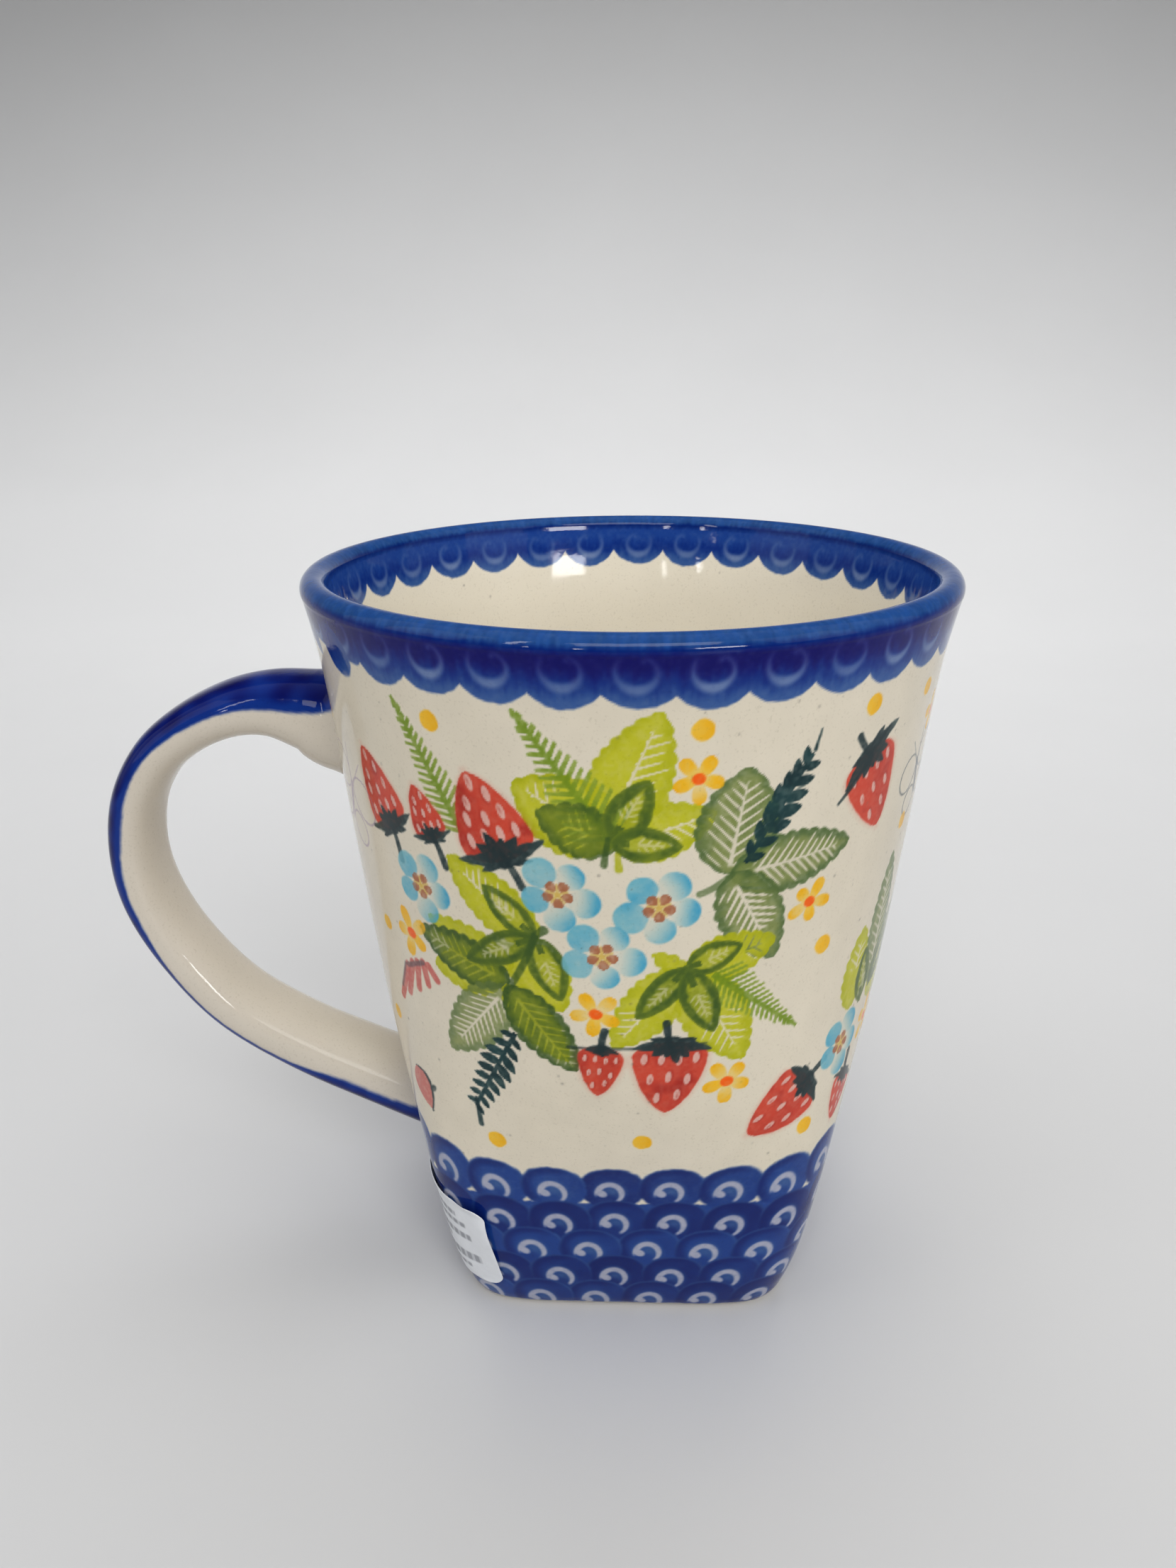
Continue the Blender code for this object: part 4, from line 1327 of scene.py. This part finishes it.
def make_label():
    """A paper label wrapped round a corner of the foot, a little lifted along its near edge."""
    rows, columns = 90, 150
    middle, half_height = (LABEL_LOW + LABEL_HIGH) / 2, (LABEL_HIGH - LABEL_LOW) / 2
    rise = np.linspace(-half_height, half_height, rows)
    over = np.clip(np.abs(rise) - (half_height - LABEL_CORNER_RADIUS), 0, None)
    trim = LABEL_CORNER_RADIUS - np.sqrt(np.clip(LABEL_CORNER_RADIUS**2 - over**2, 0, None))
    share = np.linspace(0, 1, columns)
    first = np.radians(LABEL_BACK_ANGLE) + trim / LABEL_RADIUS
    last = np.radians(LABEL_FRONT_ANGLE) - trim / LABEL_RADIUS
    angles = blend(first[:, None], last[:, None], share[None, :])
    heights = (middle + rise)[:, None] + 0 * angles
    up_share = (rise / half_height)[:, None]
    curl = 0.9 * ease(0.80, 1.0, share)[None, :] * (0.45 + 0.55 * bump(up_share - 0.55, 0.5))
    curl = curl + 0.35 * ease(0.78, 1.0, up_share) * (0.6 + 0.4 * share[None, :])
    crease = 0.10 * np.sin(14 * angles + 3 * up_share) * ease(0.3, 0.9, share)[None, :]
    layers = []
    for lift in LABEL_LIFTS:
        reach = wall_reach(angles, heights, lift) + curl + crease
        layers.append(np.stack([reach * np.cos(angles), reach * np.sin(angles), heights], -1))
    under, top = layers
    colour = np.empty(top.shape, np.float32)
    colour[:] = PAPER
    for k, (level, start, stop, half) in enumerate(LABEL_BARS):
        stretch = ease(start, start + 0.02, share) * (1 - ease(stop - 0.02, stop, share))
        bar = inside(np.abs(up_share - level), half, 0.05) * stretch
        broken = 0.45 + 0.55 * (np.sin(95 * share[None, :] + 9 * k) > -0.45)
        colour = blend(colour, np.array(PRINT), (0.75 * bar * broken)[..., None])
    side_rows = np.concatenate([under[:1], top, under[-1:]])
    sheet = np.concatenate([side_rows[:, :1], side_rows, side_rows[:, -1:]], axis=1)
    sheet[:, 0] = np.concatenate([under[:1, 0], under[:, 0], under[-1:, 0]])
    sheet[:, -1] = np.concatenate([under[:1, -1], under[:, -1], under[-1:, -1]])
    paint = np.pad(colour, ((1, 1), (1, 1), (0, 0)), mode="edge")
    face = grid_object("label_face", sheet, None, paint, closed=False)
    finish_piece(face, ["price_label"], label_paper("label_paper"))


# ---------------------------------------------------------------- stage, light and camera

CAMERA_PLACE = (0.43, -178.95, 150.58)
CAMERA_YAW = -0.039
CAMERA_PITCH = 0.363
CAMERA_ROLL = -0.008
CAMERA_LENS = 27.02


def make_camera():
    data = bpy.data.cameras.new("camera")
    data.lens = CAMERA_LENS
    data.sensor_width = 36.0
    data.clip_start = 0.01
    camera = bpy.data.objects.new("camera", data)
    bpy.context.scene.collection.objects.link(camera)
    flat = Vector((math.sin(CAMERA_YAW), math.cos(CAMERA_YAW), 0))
    ahead = flat * math.cos(CAMERA_PITCH) - Vector((0, 0, 1)) * math.sin(CAMERA_PITCH)
    right = Vector((math.cos(CAMERA_YAW), -math.sin(CAMERA_YAW), 0))
    up = right.cross(ahead)
    c, s = math.cos(CAMERA_ROLL), math.sin(CAMERA_ROLL)
    turned_right, turned_up = right * c + up * s, up * c - right * s
    camera.matrix_world = Matrix.Translation(Vector(CAMERA_PLACE) * MM) @ Matrix(
        (turned_right, turned_up, -ahead)
    ).transposed().to_4x4()
    bpy.context.scene.camera = camera


def lamp(
    name, azimuth, elevation, distance, size, radiance, colour=(1, 1, 1), diffuse=True, glossy=True
):
    """A rectangular light facing the cup from a direction: azimuth 0 is the front, 90 the right."""
    turn, lift = math.radians(azimuth), math.radians(elevation)
    level = distance * math.cos(lift)
    place = Vector((level * math.sin(turn), -level * math.cos(turn), distance * math.sin(lift)))
    aim = Vector((0, 0, 0.08))
    data = bpy.data.lights.new(name, "AREA")
    data.shape = "RECTANGLE"
    data.size, data.size_y = size
    data.energy = radiance * math.pi * size[0] * size[1]
    data.color = colour
    light = bpy.data.objects.new(name, data)
    light.location = place + aim
    light.rotation_euler = (-place).to_track_quat("-Z", "Y").to_euler()
    light.visible_camera = False
    light.visible_diffuse = diffuse
    light.visible_glossy = glossy
    bpy.context.scene.collection.objects.link(light)


def make_stage():
    """A pale sweep: a floor that curves up far behind the cup."""
    front, back, bend, height, half_width = -3.0, 0.95, 0.6, 2.0, 3.0
    profile = [(front, 0.0), (-1.0, 0.0), (0.0, 0.0), (back - bend, 0.0)]
    for turn in np.radians(np.linspace(5, 90, 18)):
        profile.append((back - bend + bend * math.sin(turn), bend - bend * math.cos(turn)))
    profile.append((back, height))
    xs = np.linspace(-half_width, half_width, 9)
    grid = np.array([[(x, y, z) for x in xs] for y, z in profile]) / MM
    sweep = grid_object("sweep", grid, closed=False)
    sweep.data.materials.append(sweep_paper())


WORLD_FRONT = 0.1
WORLD_BACK = 0.5
WORLD_SEEN = 0.72  # strength where the camera looks past the sweep


def make_world():
    """Soft light from above and behind, darker in front where the photographer stands."""
    world = bpy.data.worlds.new("tent")
    world.use_nodes = True
    tree = world.node_tree
    background = tree.nodes["Background"]
    place = tree.nodes.new("ShaderNodeTexCoord")
    split = tree.nodes.new("ShaderNodeSeparateXYZ")
    tree.links.new(place.outputs["Generated"], split.inputs["Vector"])
    ramp = tree.nodes.new("ShaderNodeMapRange")
    ramp.inputs["From Min"].default_value = -0.75
    ramp.inputs["From Max"].default_value = 0.4
    ramp.inputs["To Min"].default_value = WORLD_FRONT
    ramp.inputs["To Max"].default_value = WORLD_BACK
    tree.links.new(split.outputs["Y"], ramp.inputs["Value"])
    rays = tree.nodes.new("ShaderNodeLightPath")
    seen = tree.nodes.new("ShaderNodeMix")
    seen.inputs["B"].default_value = WORLD_SEEN
    tree.links.new(rays.outputs["Is Camera Ray"], seen.inputs["Factor"])
    tree.links.new(ramp.outputs["Result"], seen.inputs["A"])
    tree.links.new(seen.outputs["Result"], background.inputs["Strength"])
    background.inputs["Color"].default_value = (0.97, 0.98, 1.0, 1)
    bpy.context.scene.world = world


def make_lights():
    """Broad soft lights, and small bright ones seen only as reflections in the glaze."""
    lamp("overhead", 0, 86, 0.95, (1.1, 0.9), 1.0, glossy=False)
    lamp("over_back", 180, 55, 0.9, (0.9, 0.4), 2.1, glossy=False)
    lamp("front_high", 6, 42, 1.1, (0.8, 0.35), 6.2)
    lamp("front_left", -70, 28, 1.0, (0.5, 0.7), 0.8, (0.97, 0.98, 1.0))
    lamp("front_right", 62, 26, 1.0, (0.5, 0.7), 0.9)
    lamp("window_wide", 28, 12, 1.2, (0.34, 0.12), 10.5)
    lamp("window_slit_a", -16, 11.5, 1.2, (0.03, 0.10), 10.5)
    lamp("window_slit_b", -32, 11, 1.2, (0.03, 0.08), 10.5)
    lamp("glint_wide", 28, 12, 1.19, (0.34, 0.12), 26, diffuse=False)
    lamp("glint_slit_a", -16, 11.5, 1.19, (0.03, 0.10), 30, diffuse=False)
    lamp("glint_slit_b", -32, 11, 1.19, (0.03, 0.08), 30, diffuse=False)
    lamp("glint_strip", -38, 30, 1.1, (0.05, 0.45), 16, diffuse=False)


def set_view():
    view = bpy.context.scene.view_settings
    view.view_transform = "Standard"
    view.look = "None"
    view.exposure = 0.0


make_camera()
make_cup()
make_foot()
make_handle()
make_label()
make_stage()
make_lights()
make_world()
set_view()
